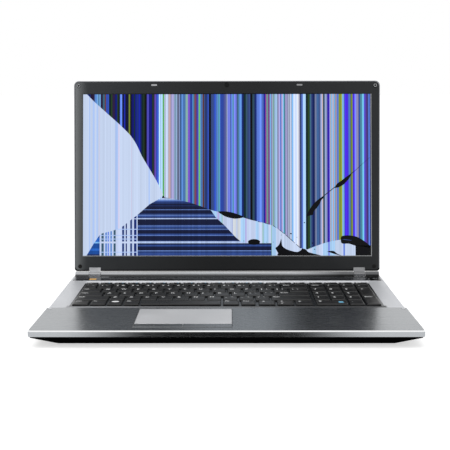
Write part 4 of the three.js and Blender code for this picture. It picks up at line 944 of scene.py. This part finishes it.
def printed(name, marks, inks, body, place=on_top):
    """Joins flat marks into one piece. Each mark is a mesh, its place and the number of its ink."""
    joined = bmesh.new()
    for mesh, spot, *ink in marks:
        mesh.transform(place(*spot))
        before = len(joined.faces)
        joined.from_mesh(mesh)
        joined.faces.ensure_lookup_table()
        for face in joined.faces[before:]:
            face.material_index = ink[0] if ink else 0
        bpy.data.meshes.remove(mesh)
    mesh = bpy.data.meshes.new(name)
    joined.to_mesh(mesh)
    joined.free()
    for ink in inks:
        mesh.materials.append(ink)
    return add_piece(name, mesh, body)


print("inks:", white_ink.name, blue_ink.name, grey_ink.name)

# %% [markdown]
# Which marks a cap gets follows from its words: an arrow or a window sign is drawn, a letter is
# large, a word is smaller, and the keys with two signs get the second one at their right. Function
# keys have a small blue spot in place of their second sign.

# %% Print the legends
ARROWS = {
    "left": [(0, 1.6), (3, 0), (3, 3.2)],
    "right": [(3, 1.6), (0, 3.2), (0, 0)],
    "up": [(0, 0), (3.2, 0), (1.6, 2.6)],
    "down": [(1.6, 0), (3.2, 2.6), (0, 2.6)],
    "window": ring_points(4.4, 2.7, 4.4, 2.7),
}
SECOND_SIGNS = dict(zip("1234567890-=[];',./\\`", "!@#$%^&*()_+{}:\"<>?|~"))
WHITE_INK, BLUE_INK = 0, 1
LOW_KEY = 10
LETTER_TALL, WORD_TALL, LOW_TALL, SIGN_TALL = 4.6, 3.0, 2.8, 4.0
FONT_SCALE = 1.4


def legend_of(k):
    """The marks on one cap: (mesh, place of its lower left corner, number of its ink)."""
    words = k["words"]
    low_key = k["y1"] - k["y0"] < LOW_KEY
    left, rear = k["x0"] + 2.0, k["y1"] - 1.7
    if not words:
        return []
    if words in ARROWS:
        height = max(y for _, y in ARROWS[words])
        return [(flat_shape(ARROWS[words]), (left + 1.6, rear - height - 1.2), WHITE_INK)]
    letter = len(words) == 1
    tall = LOW_TALL if low_key else LETTER_TALL if letter else WORD_TALL
    marks = [(word_mesh(words, tall * FONT_SCALE), (left + 0.8 * letter, rear - tall), WHITE_INK)]
    if low_key and words.startswith("F"):
        spot = flat_shape(ring_points(1.3, 0.9, 1.3, 0.9, 8))
        marks.append((spot, (k["x1"] - 5.2, k["y1"] - 3.6), BLUE_INK))
    if words in SECOND_SIGNS and k["x1"] <= MAIN_RIGHT:
        marks.append((word_mesh(SECOND_SIGNS[words], SIGN_TALL), (left + 7.4, rear - 3.6), WHITE_INK))
    return marks


def print_legends(name, some, body):
    printed(name, [mark for k in some for mark in legend_of(k)], (white_ink, blue_ink), body)


print_legends("fixed_legends", still_keys, "base")
for k in moving_keys:
    if k["words"]:
        print_legends(k["name"] + "_legend", [k], k["name"])
print("keys with a legend:", sum(bool(k["words"]) for k in keys))

# %% [markdown]
# A few marks are printed or set in elsewhere: an amber patch and small lamps on the dark strip, a
# light blue mark on the number pad's zero, and the sign on the power button. All are plain shapes.
# Dark strips fill the gap before the bar as painted shade, and a silver lip runs before the touchpad's
# buttons.

# %% Marks on the strip and the buttons
strip_top = (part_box("control_strip")[1].z - ZERO.z) * 1000
button_top = (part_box("power_button")[1].z - ZERO.z) * 1000
amber = moulded("amber_mark", tint(250, 190, 92), 0.5, dust=0.1)
printed("amber_patch", [(plate(9, 6.4), (-178, 227.6, strip_top))], [amber], "base")
printed("strip_signs", [(ring_mark(1.5, 0.5), (169.5, 231, strip_top)),
                        (plate(3, 2.2), (172.6, 229.8, strip_top)),
                        (ring_mark(1.3, 0.5), (178.4, 231, strip_top))], [grey_ink], "base")
printed("number_pad_mark", [(plate(5.4, 5.6), (129.9, 111.6, KEY_TOP))], [blue_ink], "number_pad_zero_key")
printed("power_sign", [(ring_mark(2.6, 0.5, 70), (191.5, 233, button_top)),
                       (plate(0.5, 2.8), (191.25, 233.4, button_top))], [grey_ink], "power_button")
seam_and_shade_dark = finish["inner_plastic"]
block("power_seam", at, (184.9, 199.2), (221.5, 222.5), (-0.4, 0.0), "base", seam_and_shade_dark)
# The dark strips before the bar are painted shade in the gap between the bar and the strip.
for name, ends in (("left", (-197, -181)), ("middle", (-154, 154)), ("right", (181, 197))):
    block("bar_shade_" + name, at, ends, (242.85, 243.35), (-1.3, 0.6), "base", seam_and_shade_dark)
for side, ends in (("left", (-98.0, -46.0)), ("right", (-45.6, 6.4))):
    block("pad_lip_" + side, at, ends, (12.8, 13.8), (-0.4, 0.3), "base",
          finish["deck_silver"])
print("strip top, mm:", round(strip_top, 2), "button top, mm:", round(button_top, 2))

# %% [markdown]
# Now the broken screen. Its lines are drawn in millimetres from the picture's lower left corner,
# on the panel's own plane, which leans back from the hinge. An image would be one way to show it,
# but here each bar, block and blot is a flat patch with its own colour, so that every edge stays
# sharp from near. Later patches lie a little higher and cover earlier ones.

# %% Where the picture lies
HINGE = Vector(next(j["pos_m"] for j in frame["joints"] if j["name"] == "lid_hinge"))
LEAN = math.radians(10.6)
UP_LID = Vector((0, math.sin(LEAN), math.cos(LEAN)))
OUT_OF_LID = Vector((0, -math.cos(LEAN), math.sin(LEAN)))
PICTURE_WIDTH, PICTURE_HEIGHT = 381.9, 214.8
PICTURE_BOTTOM = 23.65
PANEL_FRONT = -1.0
PANEL_BACK = -2.6
PANEL_BORDER = 3.6


def on_lid(x, y, out):
    """Millimetres across from the middle, up from the hinge and out of the lid, as a place in the frame."""
    return HINGE + (Vector((1, 0, 0)) * x + UP_LID * y + OUT_OF_LID * out) / 1000


def on_picture(x, y, layer):
    return on_lid(x - PICTURE_WIDTH / 2, y + PICTURE_BOTTOM, PANEL_FRONT + 0.03 + 0.03 * layer)


patches = []
BLACK = "leaked"


def patch(points, colour, layer, hairlines=0.05):
    """Adds a flat patch of any outline to the picture, with how much the hair-thin lines show in it."""
    patches.append({"points": points, "colour": colour, "layer": layer, "hairlines": hairlines})


def clipped(polygon, low, high, axis=1):
    """The part of a polygon between two heights (axis 1) or two places across (axis 0)."""
    def cut(points, keep, limit):
        kept = []
        for start, end in zip(points, points[1:] + points[:1]):
            if keep(start[axis]):
                kept.append(start)
            if keep(start[axis]) != keep(end[axis]):
                share = (limit - start[axis]) / (end[axis] - start[axis])
                kept.append(tuple(s + share * (e - s) for s, e in zip(start, end)))
        return kept
    return cut(cut(polygon, lambda v: v >= low, low), lambda v: v <= high, high)


def stripes(polygon, starts, last, layer, axis, hairlines):
    """Fills a polygon with stripes, written as 'where it starts and its colour, the next, ...'."""
    pairs = [item.split(maxsplit=1) for item in starts.split(",")]
    edges = [(float(place), colour) for place, colour in pairs]
    for (low, colour), (high, _) in zip(edges, edges[1:] + [(last, None)]):
        outline = clipped(polygon, low, high, axis)
        if len(outline) > 2:
            patch(outline, colour, layer, hairlines)


print("lower left corner of the picture:", tuple(round(value, 4) for value in on_picture(0, 0, 0)))

# %% [markdown]
# Over most of the screen the panel has lost its row signals, so each column holds one colour from
# top to bottom. A short palette of named colours is enough for all of them. The list gives where
# each column begins, in millimetres from the left, and the name of its colour.

# %% Columns of colour
PALETTE = {
    "black": (6, 8, 12), "ink": (10, 14, 46), "pine": (12, 38, 44), "plum": (42, 26, 64),
    "moss": (34, 58, 30), "umber": (92, 50, 46),
    "navy": (20, 38, 106), "slate": (54, 74, 130), "slate green": (56, 90, 112),
    "steel": (86, 134, 204), "teal": (76, 128, 158), "sea": (100, 176, 206), "sky": (124, 184, 240),
    "pale sky": (168, 206, 243), "pale": (197, 211, 241), "white": (220, 220, 246), "mint": (152, 200, 192),
    "green": (92, 166, 92), "lime": (176, 196, 62), "olive": (124, 140, 50), "peach": (190, 164, 166),
    "rose": (150, 80, 110), "magenta": (124, 54, 130), "purple": (112, 76, 184), "lavender": (182, 178, 232),
    "grey lavender": (152, 166, 212), "periwinkle": (118, 130, 236), "cornflower": (96, 130, 226),
    "royal": (54, 86, 196), "blue": (22, 36, 160), "deep blue": (12, 18, 118), "violet": (76, 46, 234),
    "violet steel": (80, 76, 190), "washed": (196, 211, 238), "washed blue": (172, 198, 246),
    "washed pink": (206, 204, 232), "row dark": (20, 27, 58), "row navy": (32, 50, 100),
    "row blue": (48, 74, 140),
    "row light": (104, 134, 200), "row bright": (176, 196, 236), "corner blue": (42, 104, 200),
    "corner deep": (26, 76, 156), "cream": (206, 212, 218), "leaked": (2, 2, 3),
}
columns = """
    0 navy, 10.1 plum, 15.2 steel, 18.6 sky, 23.3 plum, 26.2 teal, 28.7 umber, 30.4 royal, 34.3 pine,
    37.2 moss, 38.9 plum, 42.3 blue, 45.1 moss, 47 black, 49 cornflower, 51.9 black, 54.1 blue,
    56.1 ink, 60.5 olive, 62.4 black, 64.3 deep blue, 67.6 pine, 69.3 deep blue, 71 navy, 73.6 blue,
    77.3 pine, 80.3 moss, 81.5 black, 84.5 violet steel, 87.4 deep blue, 91.7 moss, 94.2 purple,
    96.7 royal, 100.6 pale sky, 105.7 green, 107.9 pale, 113.3 peach, 116.3 lavender, 120.9 pale sky,
    124.6 grey lavender, 128.5 steel, 136.1 mint, 139.1 purple, 142 royal, 145.4 teal, 148 rose,
    150.5 violet steel, 153.4 green, 155.6 steel, 158.6 umber, 160.6 slate, 164 royal, 167.1 black,
    170 slate, 173.3 royal, 176.7 steel, 179.3 sea, 181.8 royal, 186.9 periwinkle, 189.4 grey lavender,
    192 periwinkle, 195.3 cornflower, 198.2 teal, 200.4 periwinkle, 204.6 teal, 207 steel, 210.6 navy,
    213.1 pine, 216 slate green, 218.2 slate, 221.9 black, 224.9 slate green, 227.5 navy,
    230.5 cornflower, 239.8 blue, 241.8 magenta, 243.5 mint, 245.7 magenta, 247.9 sky, 249.9 lavender,
    251.6 mint, 253.6 pale sky, 258 lavender, 261.4 cornflower, 263.1 lavender, 265.5 sea,
    268.2 lavender, 271.9 pale, 277 sky, 279 pale, 284.1 cream, 285.8 white, 287.6 slate,
    290 cornflower, 291.9 pale sky, 295.6 pine, 298.1 moss, 301 teal, 302.6 slate, 304.4 navy,
    307.4 grey lavender, 309.8 steel, 313 slate, 314.6 grey lavender, 317.2 peach, 318.4 slate green,
    320.9 grey lavender, 324 violet, 327.4 cream, 329.4 sky, 331.1 peach, 332.8 sky, 335 peach,
    336.5 cornflower, 339.2 lime, 343.8 sky, 346.7 violet, 352.2 steel, 355.1 olive, 357.8 violet,
    360.4 periwinkle, 362.6 lavender, 365.8 royal, 367.5 sea, 372.5 violet steel, 375 purple,
    377.6 cornflower, 380.1 navy"""
whole = [(0, 0), (PICTURE_WIDTH, 0), (PICTURE_WIDTH, PICTURE_HEIGHT), (0, PICTURE_HEIGHT)]
stripes(whole, columns, PICTURE_WIDTH, 0, 0, 0.34)
print("columns:", columns.count(",") + 1, "palette:", len(PALETTE))

# %% [markdown]
# The glass broke from a point at the lower left. The areas between the cracks each fail in their
# own way: one is washed out, a low dome is crossed by rows, and a corner shows bars over the rows.

# %% Areas between the cracks
LEFT_CRACK = [
    (5.1, 214.8), (15.2, 204.6), (34, 187.6), (49.2, 174), (58, 165.4), (63, 160), (67.6, 153.4), (71.4, 147),
    (78.1, 132.5), (88.4, 115.3), (96.9, 100.9), (100.2, 94.5), (106.2, 81.7),
]
LOWER_CRACK = [
    (106.2, 81.7), (105, 79), (99.2, 74.6), (88.4, 68.6), (72.4, 54.6), (62.5, 47), (54, 40.2), (48.6, 36.8),
    (38.5, 33.2), (25.4, 30), (21.8, 27.4), (14.6, 17), (4.4, 0),
]
DOME_LEFT = [(72.4, 0), (72.4, 54.6), (88.4, 68.6), (99.2, 74.6), (105, 77.5)]
DOME_TOP = [
    (112, 76.8), (118, 75.9), (129.1, 74), (142.6, 70.6), (154.4, 66.6), (163, 63.4), (169.9, 60.4),
    (176.1, 51.3), (188.4, 39.9), (202.6, 24.7), (209.2, 19), (219, 16.9), (250, 16.9), (250, 0),
]
pale_area = [(0, 214.8)] + LEFT_CRACK + LOWER_CRACK + [(0, 0)]
stripes(pale_area, """
    0 washed, 8 washed blue, 9.4 washed, 12.7 washed blue, 15.2 washed, 17.8 washed blue, 19.6 washed,
    21.4 washed pink, 22.2 washed, 42.8 washed blue, 46.4 washed pink, 48.6 washed, 64 washed pink,
    65 washed, 87 washed blue, 88.8 washed""", 110, 1, 0, 0.05)
dome = DOME_LEFT + DOME_TOP
dome_rows = """
    0 row blue, 4.6 row navy, 6.2 row light, 7.4 row dark, 12 row navy, 13 row blue, 15 row dark,
    16.8 row bright, 19.4 row navy, 20.8 row dark, 26.2 row navy, 26.8 row light, 27.6 row blue,
    29.6 row dark, 34 row navy, 35 row light, 35.9 row navy, 37.4 row blue, 39.4 row light,
    40.3 row navy, 41.4 row dark, 48.8 row bright, 50.2 row navy, 51.4 row blue, 53.6 row light,
    54.6 row navy, 56.4 row dark, 60.9 row light, 61.7 row dark, 66 row navy, 67 row dark, 69 row navy,
    71.2 row blue, 73 row light, 74.8 row bright"""
stripes(dome, dome_rows, 80, 1, 1, 0.1)
corner = [(4.4, 0), (14.6, 17), (21.8, 27.4), (22.2, 27.8), (22.2, 0)]
stripes(corner, """
    0 row navy, 2.5 corner deep, 7 corner blue, 10 corner deep, 16.8 sky, 18.8 corner blue,
    24 corner deep""", 30, 1, 1, 0.1)
second_area = [
    (166.6, 61.6), (179.9, 58.4), (212.1, 52.2), (223.4, 47.8), (238.7, 44), (249.9, 40.8), (259.5, 35.1),
    (267, 29.4), (276.5, 20.9), (287.9, 10.4), (297.3, 8.5), (297.3, 0), (250, 0), (250, 16.9), (219, 16.9),
    (209.2, 19), (202.6, 24.7), (188.4, 39.9), (176.1, 51.3), (169.9, 60.4),
]
stripes(second_area, """
    166 pale sky, 178 lavender, 181 pale sky, 184 mint, 185.2 pale, 197.4 grey lavender, 198.6 cream,
    203 pale, 205 cream, 209 pale sky, 215 lavender, 217 pale, 229 pale sky, 233 pale, 238 mint,
    239.5 pale sky, 246 pale, 249.5 mint, 250.5 pale sky, 256 pale, 262 washed""", 300, 1, 0, 0.08)
right_corner = [
    (297.3, 8.5), (306.9, 12.4), (320.1, 17), (331.5, 19.9), (342.2, 21.5), (361, 21), (361, 0), (297.3, 0),
]
stripes(right_corner, """
    297 washed, 304 pale sky, 309 pale, 318 pale sky, 325 periwinkle, 327 pale sky, 334 washed,
    342 pale, 345 cornflower, 347 washed""", 362, 1, 0, 0.08)
print("patches in columns and areas:", len(patches))

# %% [markdown]
# In the lower left corner the rows show only through dark bars between washed-out columns, and
# the brightest rows run over both. The bars end at the crack, so they are clipped by its outline.

# %% Bars in the lower left corner
along_crack = [p for p in reversed(LOWER_CRACK) if 22.2 < p[0] < 72.4]
barred = [(22.2, 0), (22.2, 27.8)] + along_crack + [(72.4, 54.6), (72.4, 0)]
stripes(barred, """
    22.2 pale, 24.5 slate green, 27.6 pale, 29.6 steel, 31.8 pale, 32.8 cornflower, 34.5 pale,
    36.4 steel, 38.5 pale, 40.6 slate green, 43.4 pale, 51.9 slate, 54.8 washed, 56.7 navy, 58.4 washed,
    62.6 slate, 65.3 pale, 67.7 navy, 70.2 row blue, 71.2 washed""", 73, 2, 0, 0.05)
for low, high, colour in ((16.8, 19.2, "pale"), (26.8, 27.8, "washed blue"), (35, 36, "washed blue"),
                          (4.6, 5.6, "washed blue"), (48.8, 49.8, "pale"), (22, 23, "washed blue")):
    patch(clipped(barred, low, high), colour, 3)
print("patches with the bars:", len(patches))

# %% [markdown]
# Where the glass gave way, liquid crystal ran out and left black pools, and the cracks themselves
# read as black lines that swell and thin. A thin crack is a ribbon along its points, with a width
# at each of them; a wide one is outlined like a leaf.


# %% Blots and cracks
def smoothed(points, steps=4):
    """A closed outline through the points with soft corners, by Catmull-Rom interpolation."""
    made = []
    count = len(points)
    for i in range(count):
        p = [np.array(points[(i + k) % count], float) for k in (-1, 0, 1, 2)]
        for step in range(steps):
            t = step / steps
            square, cube = 2 * p[0] - 5 * p[1] + 4 * p[2] - p[3], 3 * p[1] - p[0] - 3 * p[2] + p[3]
            made.append(tuple(0.5 * (2 * p[1] + (p[2] - p[0]) * t + square * t * t + cube * t ** 3)))
    return made


def ribbon(path, layer=5):
    """A crack: a strip along (x, y, width) points."""
    left, right_side = [], []
    for i, (x, y, width) in enumerate(path):
        x0, y0, _ = path[max(i - 1, 0)]
        x1, y1, _ = path[min(i + 1, len(path) - 1)]
        length = math.hypot(x1 - x0, y1 - y0)
        across = (-(y1 - y0) / length * width / 2, (x1 - x0) / length * width / 2)
        left.append((x + across[0], y + across[1]))
        right_side.append((x - across[0], y - across[1]))
    for i in range(len(path) - 1):
        patch([right_side[i], right_side[i + 1], left[i + 1], left[i]], BLACK, layer)


BLOTS = {
    "lens": [(179.6, 58.6), (186, 59.2), (194, 58.4), (203, 56), (213, 51.8), (206, 49.6), (199, 49.6),
             (190, 51.8), (183, 55.6)],
    "lower leaf": [(296.4, 52.7), (298.9, 58.8), (302.1, 64.2), (305.9, 69.2), (310.6, 73.6), (316.3, 77.8),
                   (320.1, 80.1), (318.5, 76.6), (315.9, 73.6), (313.5, 68.3), (309.6, 63), (305.9, 58.8),
                   (305, 54.6), (301.1, 53.5)],
    "upper leaf": [(334.3, 91.4), (337.1, 95.8), (341.9, 99.1), (346.6, 102.8), (351.4, 106.3), (356, 109.1),
                   (353.4, 103.4), (349.6, 98.6), (345.6, 94.6), (340.4, 91.4), (335, 90)],
    "bottom pool": [(255.1, 10.4), (258.5, 13.3), (260.8, 16.9), (262.7, 22.7), (263.5, 16.9), (264.5, 12.9),
                    (268.9, 9.4), (276.5, 6.6), (284, 5.3), (288.8, 7.6), (290.6, 9.8), (295.4, 8.5),
                    (298.3, 5.3), (305, 3.2), (310.5, 1.9), (313.5, 0.3), (286, 0.2), (259.5, 0.3),
                    (258.6, 3.7), (256.5, 7.6)],
    "right pool": [(341.9, 24.7), (344.8, 26.6), (352.3, 27.1), (361.7, 25.6), (369.3, 21.8), (375.9, 17),
                   (381.4, 12.4), (381.4, 10.5), (368, 12.5), (361.2, 13.3), (352.3, 16.1), (344.8, 16.1),
                   (341.9, 18.1)],
    "small pool": [(323.8, 5.7), (331.5, 6.6), (337.1, 2.8), (342.8, 0.3), (335.2, 1.9), (328.6, 4.1)],
}
for outline in BLOTS.values():
    patch(smoothed(outline), BLACK, 4)
patch(ring_points(8.1, 3.8, 226.8, 18.5, 28), BLACK, 4)
patch([(361, 13.8), (381.9, 13.8), (381.9, 0), (361, 0)], BLACK, 4)
patch([(342.4, 21.9), (347, 22.1), (355.5, 20.8), (355.5, 20.2), (347, 21.2)], "slate", 5)
SPECKS = [
    (275.7, 29.4, 1.1), (293.6, 44, 0.9), (304.1, 16.9, 1.0), (262.9, 27.6, 0.5), (283.6, 24.6, 0.5),
    (291.4, 26.2, 0.4), (288.4, 17.4, 0.4), (306.8, 8.8, 0.8), (301.6, 12.6, 0.5), (213.2, 19.8, 0.7),
    (106.6, 78.4, 1.5), (243.2, 18.2, 0.5), (252.2, 18.4, 0.5),
]
for x, y, radius in SPECKS:
    patch(ring_points(radius, radius * 0.8, x, y, 10), BLACK, 5)
THIN_CRACKS = [
    [(104.8, 77.6, 1.6), (109.5, 77, 0.7), (116, 76.2, 0.3)],
    [(212, 51.6, 1.0), (223.4, 47.8, 0.5), (230, 46.2, 0.4)],
    [(232, 45.6, 0.7), (235.6, 44.8, 0.6)], [(241, 43.6, 0.7), (247, 41.8, 0.5)],
    [(252, 40, 0.7), (256, 37.6, 0.6)],
    [(259.5, 35.1, 0.6), (267, 29.4, 0.6)], [(268.5, 28, 0.7), (276.5, 20.9, 0.8), (281, 16.8, 0.5)],
    [(282.6, 15.4, 0.7), (288.6, 10.2, 0.9)],
    [(320.1, 80.1, 1.1), (327, 85.6, 0.9), (334.3, 91.4, 1.2)],
    [(356, 109.1, 1.0), (362, 114, 0.6), (370, 121.5, 0.35), (381, 131, 0.25)],
    [(296.3, 52.7, 1.0), (296.4, 40, 0.7), (296.6, 24, 0.6), (297, 10, 0.8)],
]
for path in THIN_CRACKS:
    ribbon(path)
print("patches:", len(patches))

# %% [markdown]
# The lit patches glow with the colour that each face carries. Hair-thin lines come from white
# noise that is looked up once for each millimetre across, so a line keeps its value from top to
# bottom. What the metal parts mirror of the screen is weaker and greyer than the picture, and
# strongest in the middle, so only straight rays from the camera get the full colour.


# %% Materials of the picture
ROOM_GLOW = (0.82, 0.87, 0.92)
HAIRLINE, BROADER_LINE = 0.0012, 0.0029
MEAN_OF_LINES = 1.12


def column_noise(tree, across, width):
    """A random value for each column of a width, steady along the column."""
    step = calc(tree, "FLOOR", calc(tree, "DIVIDE", across, width))
    return put(tree, "ShaderNodeTexWhiteNoise", {"noise_dimensions": "1D"}, {"W": step}).outputs["Value"]


def lit_picture():
    material, tree, shader = new_material("lit_picture")
    carried = put(tree, "ShaderNodeAttribute", {"attribute_name": "picture_colour"}).outputs
    across = axes(tree, object_place(tree))["X"]
    lines = calc(tree, "ADD", column_noise(tree, across, HAIRLINE), column_noise(tree, across, BROADER_LINE))
    amount = calc(tree, "MULTIPLY", calc(tree, "SUBTRACT", lines, MEAN_OF_LINES), carried["Alpha"])
    glow = shade(tree, carried["Color"], calc(tree, "MULTIPLY_ADD", amount, 2.0, 1.0))
    rise = band(tree, across, -0.09, 0.0, 0.16, 0.52, soft=True)
    fall = band(tree, across, 0.04, 0.11, 1.0, 0.1, soft=True)
    greyed = shade(tree, ROOM_GLOW, calc(tree, "MULTIPLY", rise, fall))
    path = put(tree, "ShaderNodeLightPath").outputs
    straight = calc(tree, "MAXIMUM", path["Is Camera Ray"], path["Is Transmission Ray"])
    tree.links.new(mix_colours(tree, straight, greyed, glow), shader.inputs["Emission Color"])
    tree.links.new(shade(tree, carried["Color"], 0.02), shader.inputs["Base Color"])
    shader.inputs["Emission Strength"].default_value = 1.0
    shader.inputs["Roughness"].default_value = 0.35
    shader.inputs["Specular IOR Level"].default_value = 0.08
    return material


def leaked_black():
    material, tree, shader = new_material("leaked_black")
    pool = noise(tree, 260, 3)
    tree.links.new(band(tree, pool, 0.3, 0.7, 0.22, 0.4), shader.inputs["Roughness"])
    tree.links.new(mix_colours(tree, pool, tint(3, 3, 5), tint(10, 12, 20)), shader.inputs["Base Color"])
    shader.inputs["Specular IOR Level"].default_value = 0.1
    return material


print("glow of the room on metal:", ROOM_GLOW)

# %% [markdown]
# All patches become one mesh. An outline of any shape is cut into triangles by tessellation, and
# each triangle is turned to face out of the lid. A dark glass plate behind the picture stands for
# the imported panel, and pale strips along its bottom and right edges are a painted highlight where
# the bezel slopes down to it.


# %% Build the screen
def build_picture():
    corners, faces, colours, materials = [], [], [], []
    for one in patches:
        outline = [Vector((x, y, 0)) for x, y in one["points"]]
        first = len(corners)
        corners += [on_picture(x, y, one["layer"]) for x, y in one["points"]]
        for a, b, c in tessellate_polygon([outline]):
            p, q, r = (outline[i] for i in (a, b, c))
            turn = (q - p).cross(r - p).z
            if abs(turn) > 1e-9:
                faces.append(tuple(first + i for i in ((a, b, c) if turn > 0 else (a, c, b))))
                colours.append(tint(*PALETTE[one["colour"]])[:3] + (one["hairlines"],))
                materials.append(int(one["colour"] == BLACK))
    mesh = mesh_of("screen_picture", corners, faces)
    mesh.materials.append(lit_picture())
    mesh.materials.append(leaked_black())
    mesh.polygons.foreach_set("material_index", materials)
    layer = mesh.attributes.new("picture_colour", "FLOAT_COLOR", "CORNER")
    layer.data.foreach_set("color", [channel for colour in colours for channel in colour * 3])
    return mesh


screen_picture = add_piece("screen_picture", build_picture(), "lid")
half, low, high_end = PICTURE_WIDTH / 2, PICTURE_BOTTOM, PICTURE_BOTTOM + PICTURE_HEIGHT
dark_glass = moulded("dark_glass", tint(8, 9, 11), 0.3, dust=0.0, specular=0.15)
panel_glass = block("screen_panel_glass", on_lid, (-half - PANEL_BORDER, half + PANEL_BORDER),
                    (low - PANEL_BORDER, high_end + PANEL_BORDER), (PANEL_BACK, PANEL_FRONT), "lid",
                    dark_glass, 0.0002)
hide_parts("screen_panel")
# The pale strips at the panel's bottom and right edges are a painted highlight on the bezel's sloped inner
# edge.
edge_highlight = moulded("edge_highlight", tint(150, 152, 154), 0.3, dust=0.1)
for name, xs, ys in (("bottom", (-half - 0.2, half + 0.6), (low - 0.4, low + 0.5)),
                     ("right", (half - 0.5, half + 0.6), (low + 0.55, high_end))):
    block("screen_edge_highlight_" + name, on_lid, xs, ys, (-0.8, 0.1), "lid", edge_highlight)
LID_TURN = Matrix((Vector((1, 0, 0)), UP_LID, OUT_OF_LID)).transposed().to_4x4()


def on_lid_face(x, y, out):
    return Matrix.Translation(on_lid(x, y, out)) @ LID_TURN


printed("bumper_rings", [(ring_mark(2.1, 0.6), (x, 249.65, 0.83)) for x in (-196.7, 196.7)], [grey_ink],
        "lid", on_lid_face)
printed("webcam_ring", [(ring_mark(3.6, 0.5), (0, 250.55, 0.33))], [finish["inner_plastic"]], "lid",
        on_lid_face)
print("picture faces:", len(screen_picture.data.polygons))

# %% [markdown]
# Up close a crack is a fine ridge in the glass, which glints. Its path is already known, so
# Geometry Nodes sweeps a small circle along it: mesh edges become curves, and the circle is
# scaled at each point by the width that the point carries.


# %% Ridges along the cracks
LEAST_RIDGE, RIDGE_SHARE = 0.00006, 0.00008
RIDGE_LAYER = 5.2


def ridge_tree():
    tree, given = rule_tree("crack_ridges", {"Thickness": 1.0, "Roundness": 6})
    path = put(tree, "GeometryNodeMeshToCurve", None, {"Mesh": given["Geometry"]}).outputs[0]
    radius = calc(tree, "MULTIPLY", carried_number(tree, "crack_width"), given["Thickness"])
    circle = put(tree, "GeometryNodeCurvePrimitiveCircle", None,
                 {"Resolution": given["Roundness"], "Radius": 1.0}).outputs[0]
    tubes = put(tree, "GeometryNodeCurveToMesh", None,
                {"Curve": path, "Profile Curve": circle, "Scale": radius, "Fill Caps": True}).outputs[0]
    painted = with_material(tree, real_shape(tree, tubes), given["Material"])
    put(tree, "NodeGroupOutput", None, {"Geometry": painted})
    return tree


def crack_paths(paths):
    """Edges along each crack on the panel, with half the ridge's width at every point."""
    corners, edges, widths = [], [], []
    for path in paths:
        first = len(corners)
        corners += [on_picture(x, y, RIDGE_LAYER) for x, y, _ in path]
        widths += [LEAST_RIDGE + RIDGE_SHARE * width for _, _, width in path]
        edges += [(first + i, first + i + 1) for i in range(len(path) - 1)]
    mesh = mesh_of("crack_paths", corners, [], edges)
    mesh.attributes.new("crack_width", "FLOAT", "POINT").data.foreach_set("value", widths)
    return mesh


crack_glass = moulded("crack_glass", tint(30, 34, 42), 0.12, 2000.0, 0.0, dust=0.0)
ridges = grown("crack_ridges", crack_paths(THIN_CRACKS), ridge_tree(), {"Material": crack_glass})
add_piece("crack_ridges", ridges, "lid")
print("ridge faces:", len(ridges.polygons))

# %% [markdown]
# The underside isn't in the photograph. Machines of this kind have hatches over the memory and the
# drive and a row of screws, so these are plain guesses. One Geometry Nodes tree sets a screw on
# every point of a mesh: a low cylinder with a dark cross on it.


# %% Hatches and screws of the underside
def screw_tree():
    tree, given = rule_tree("screws", {"Radius": 0.0024, "Height": 0.0004, "Slot": 0.0006},
                            ("Head Material", "Slot Material"))
    head = put(tree, "GeometryNodeMeshCylinder", None,
               {"Vertices": 20, "Radius": given["Radius"], "Depth": given["Height"]}).outputs[0]
    shapes = [with_material(tree, head, given["Head Material"])]
    length = calc(tree, "MULTIPLY", given["Radius"], 1.2)
    tall = calc(tree, "MULTIPLY", given["Height"], 1.1)
    for x, y in ((length, given["Slot"]), (given["Slot"], length)):
        size = put(tree, "ShaderNodeCombineXYZ", None, {0: x, 1: y, 2: tall}).outputs[0]
        bar = put(tree, "GeometryNodeMeshCube", None, {"Size": size}).outputs[0]
        shapes.append(with_material(tree, bar, given["Slot Material"]))
    spread = put(tree, "GeometryNodeInstanceOnPoints", None,
                 {"Points": given["Geometry"], "Instance": joined_shapes(tree, *shapes)}).outputs[0]
    put(tree, "NodeGroupOutput", None, {"Geometry": real_shape(tree, spread)})
    return tree


under = (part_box("bottom_cover")[0].z - ZERO.z) * 1000
SCREWS = [(-186, 60), (-96, 46), (0, 46), (96, 46), (186, 60), (-186, 236), (-60, 244), (60, 244), (186, 240),
          (-116, 150), (64, 150)]
screw_points = mesh_of("screw_points", [at(x, y, under - 0.1) for x, y in SCREWS], [])
screws = grown("screws", screw_points, screw_tree(),
               {"Head Material": finish["hinge_steel"], "Slot Material": finish["inner_plastic"]})
add_piece("underside_screws", screws, "base")
for name, xs, ys in (("drive_hatch", (-104, -10), (62, 140)), ("memory_hatch", (2, 58), (132, 212))):
    block(name, at, xs, ys, (under - 0.45, under + 0.2), "base", finish["black_shell"], 0.0003)
print("screw faces:", len(screws.polygons))
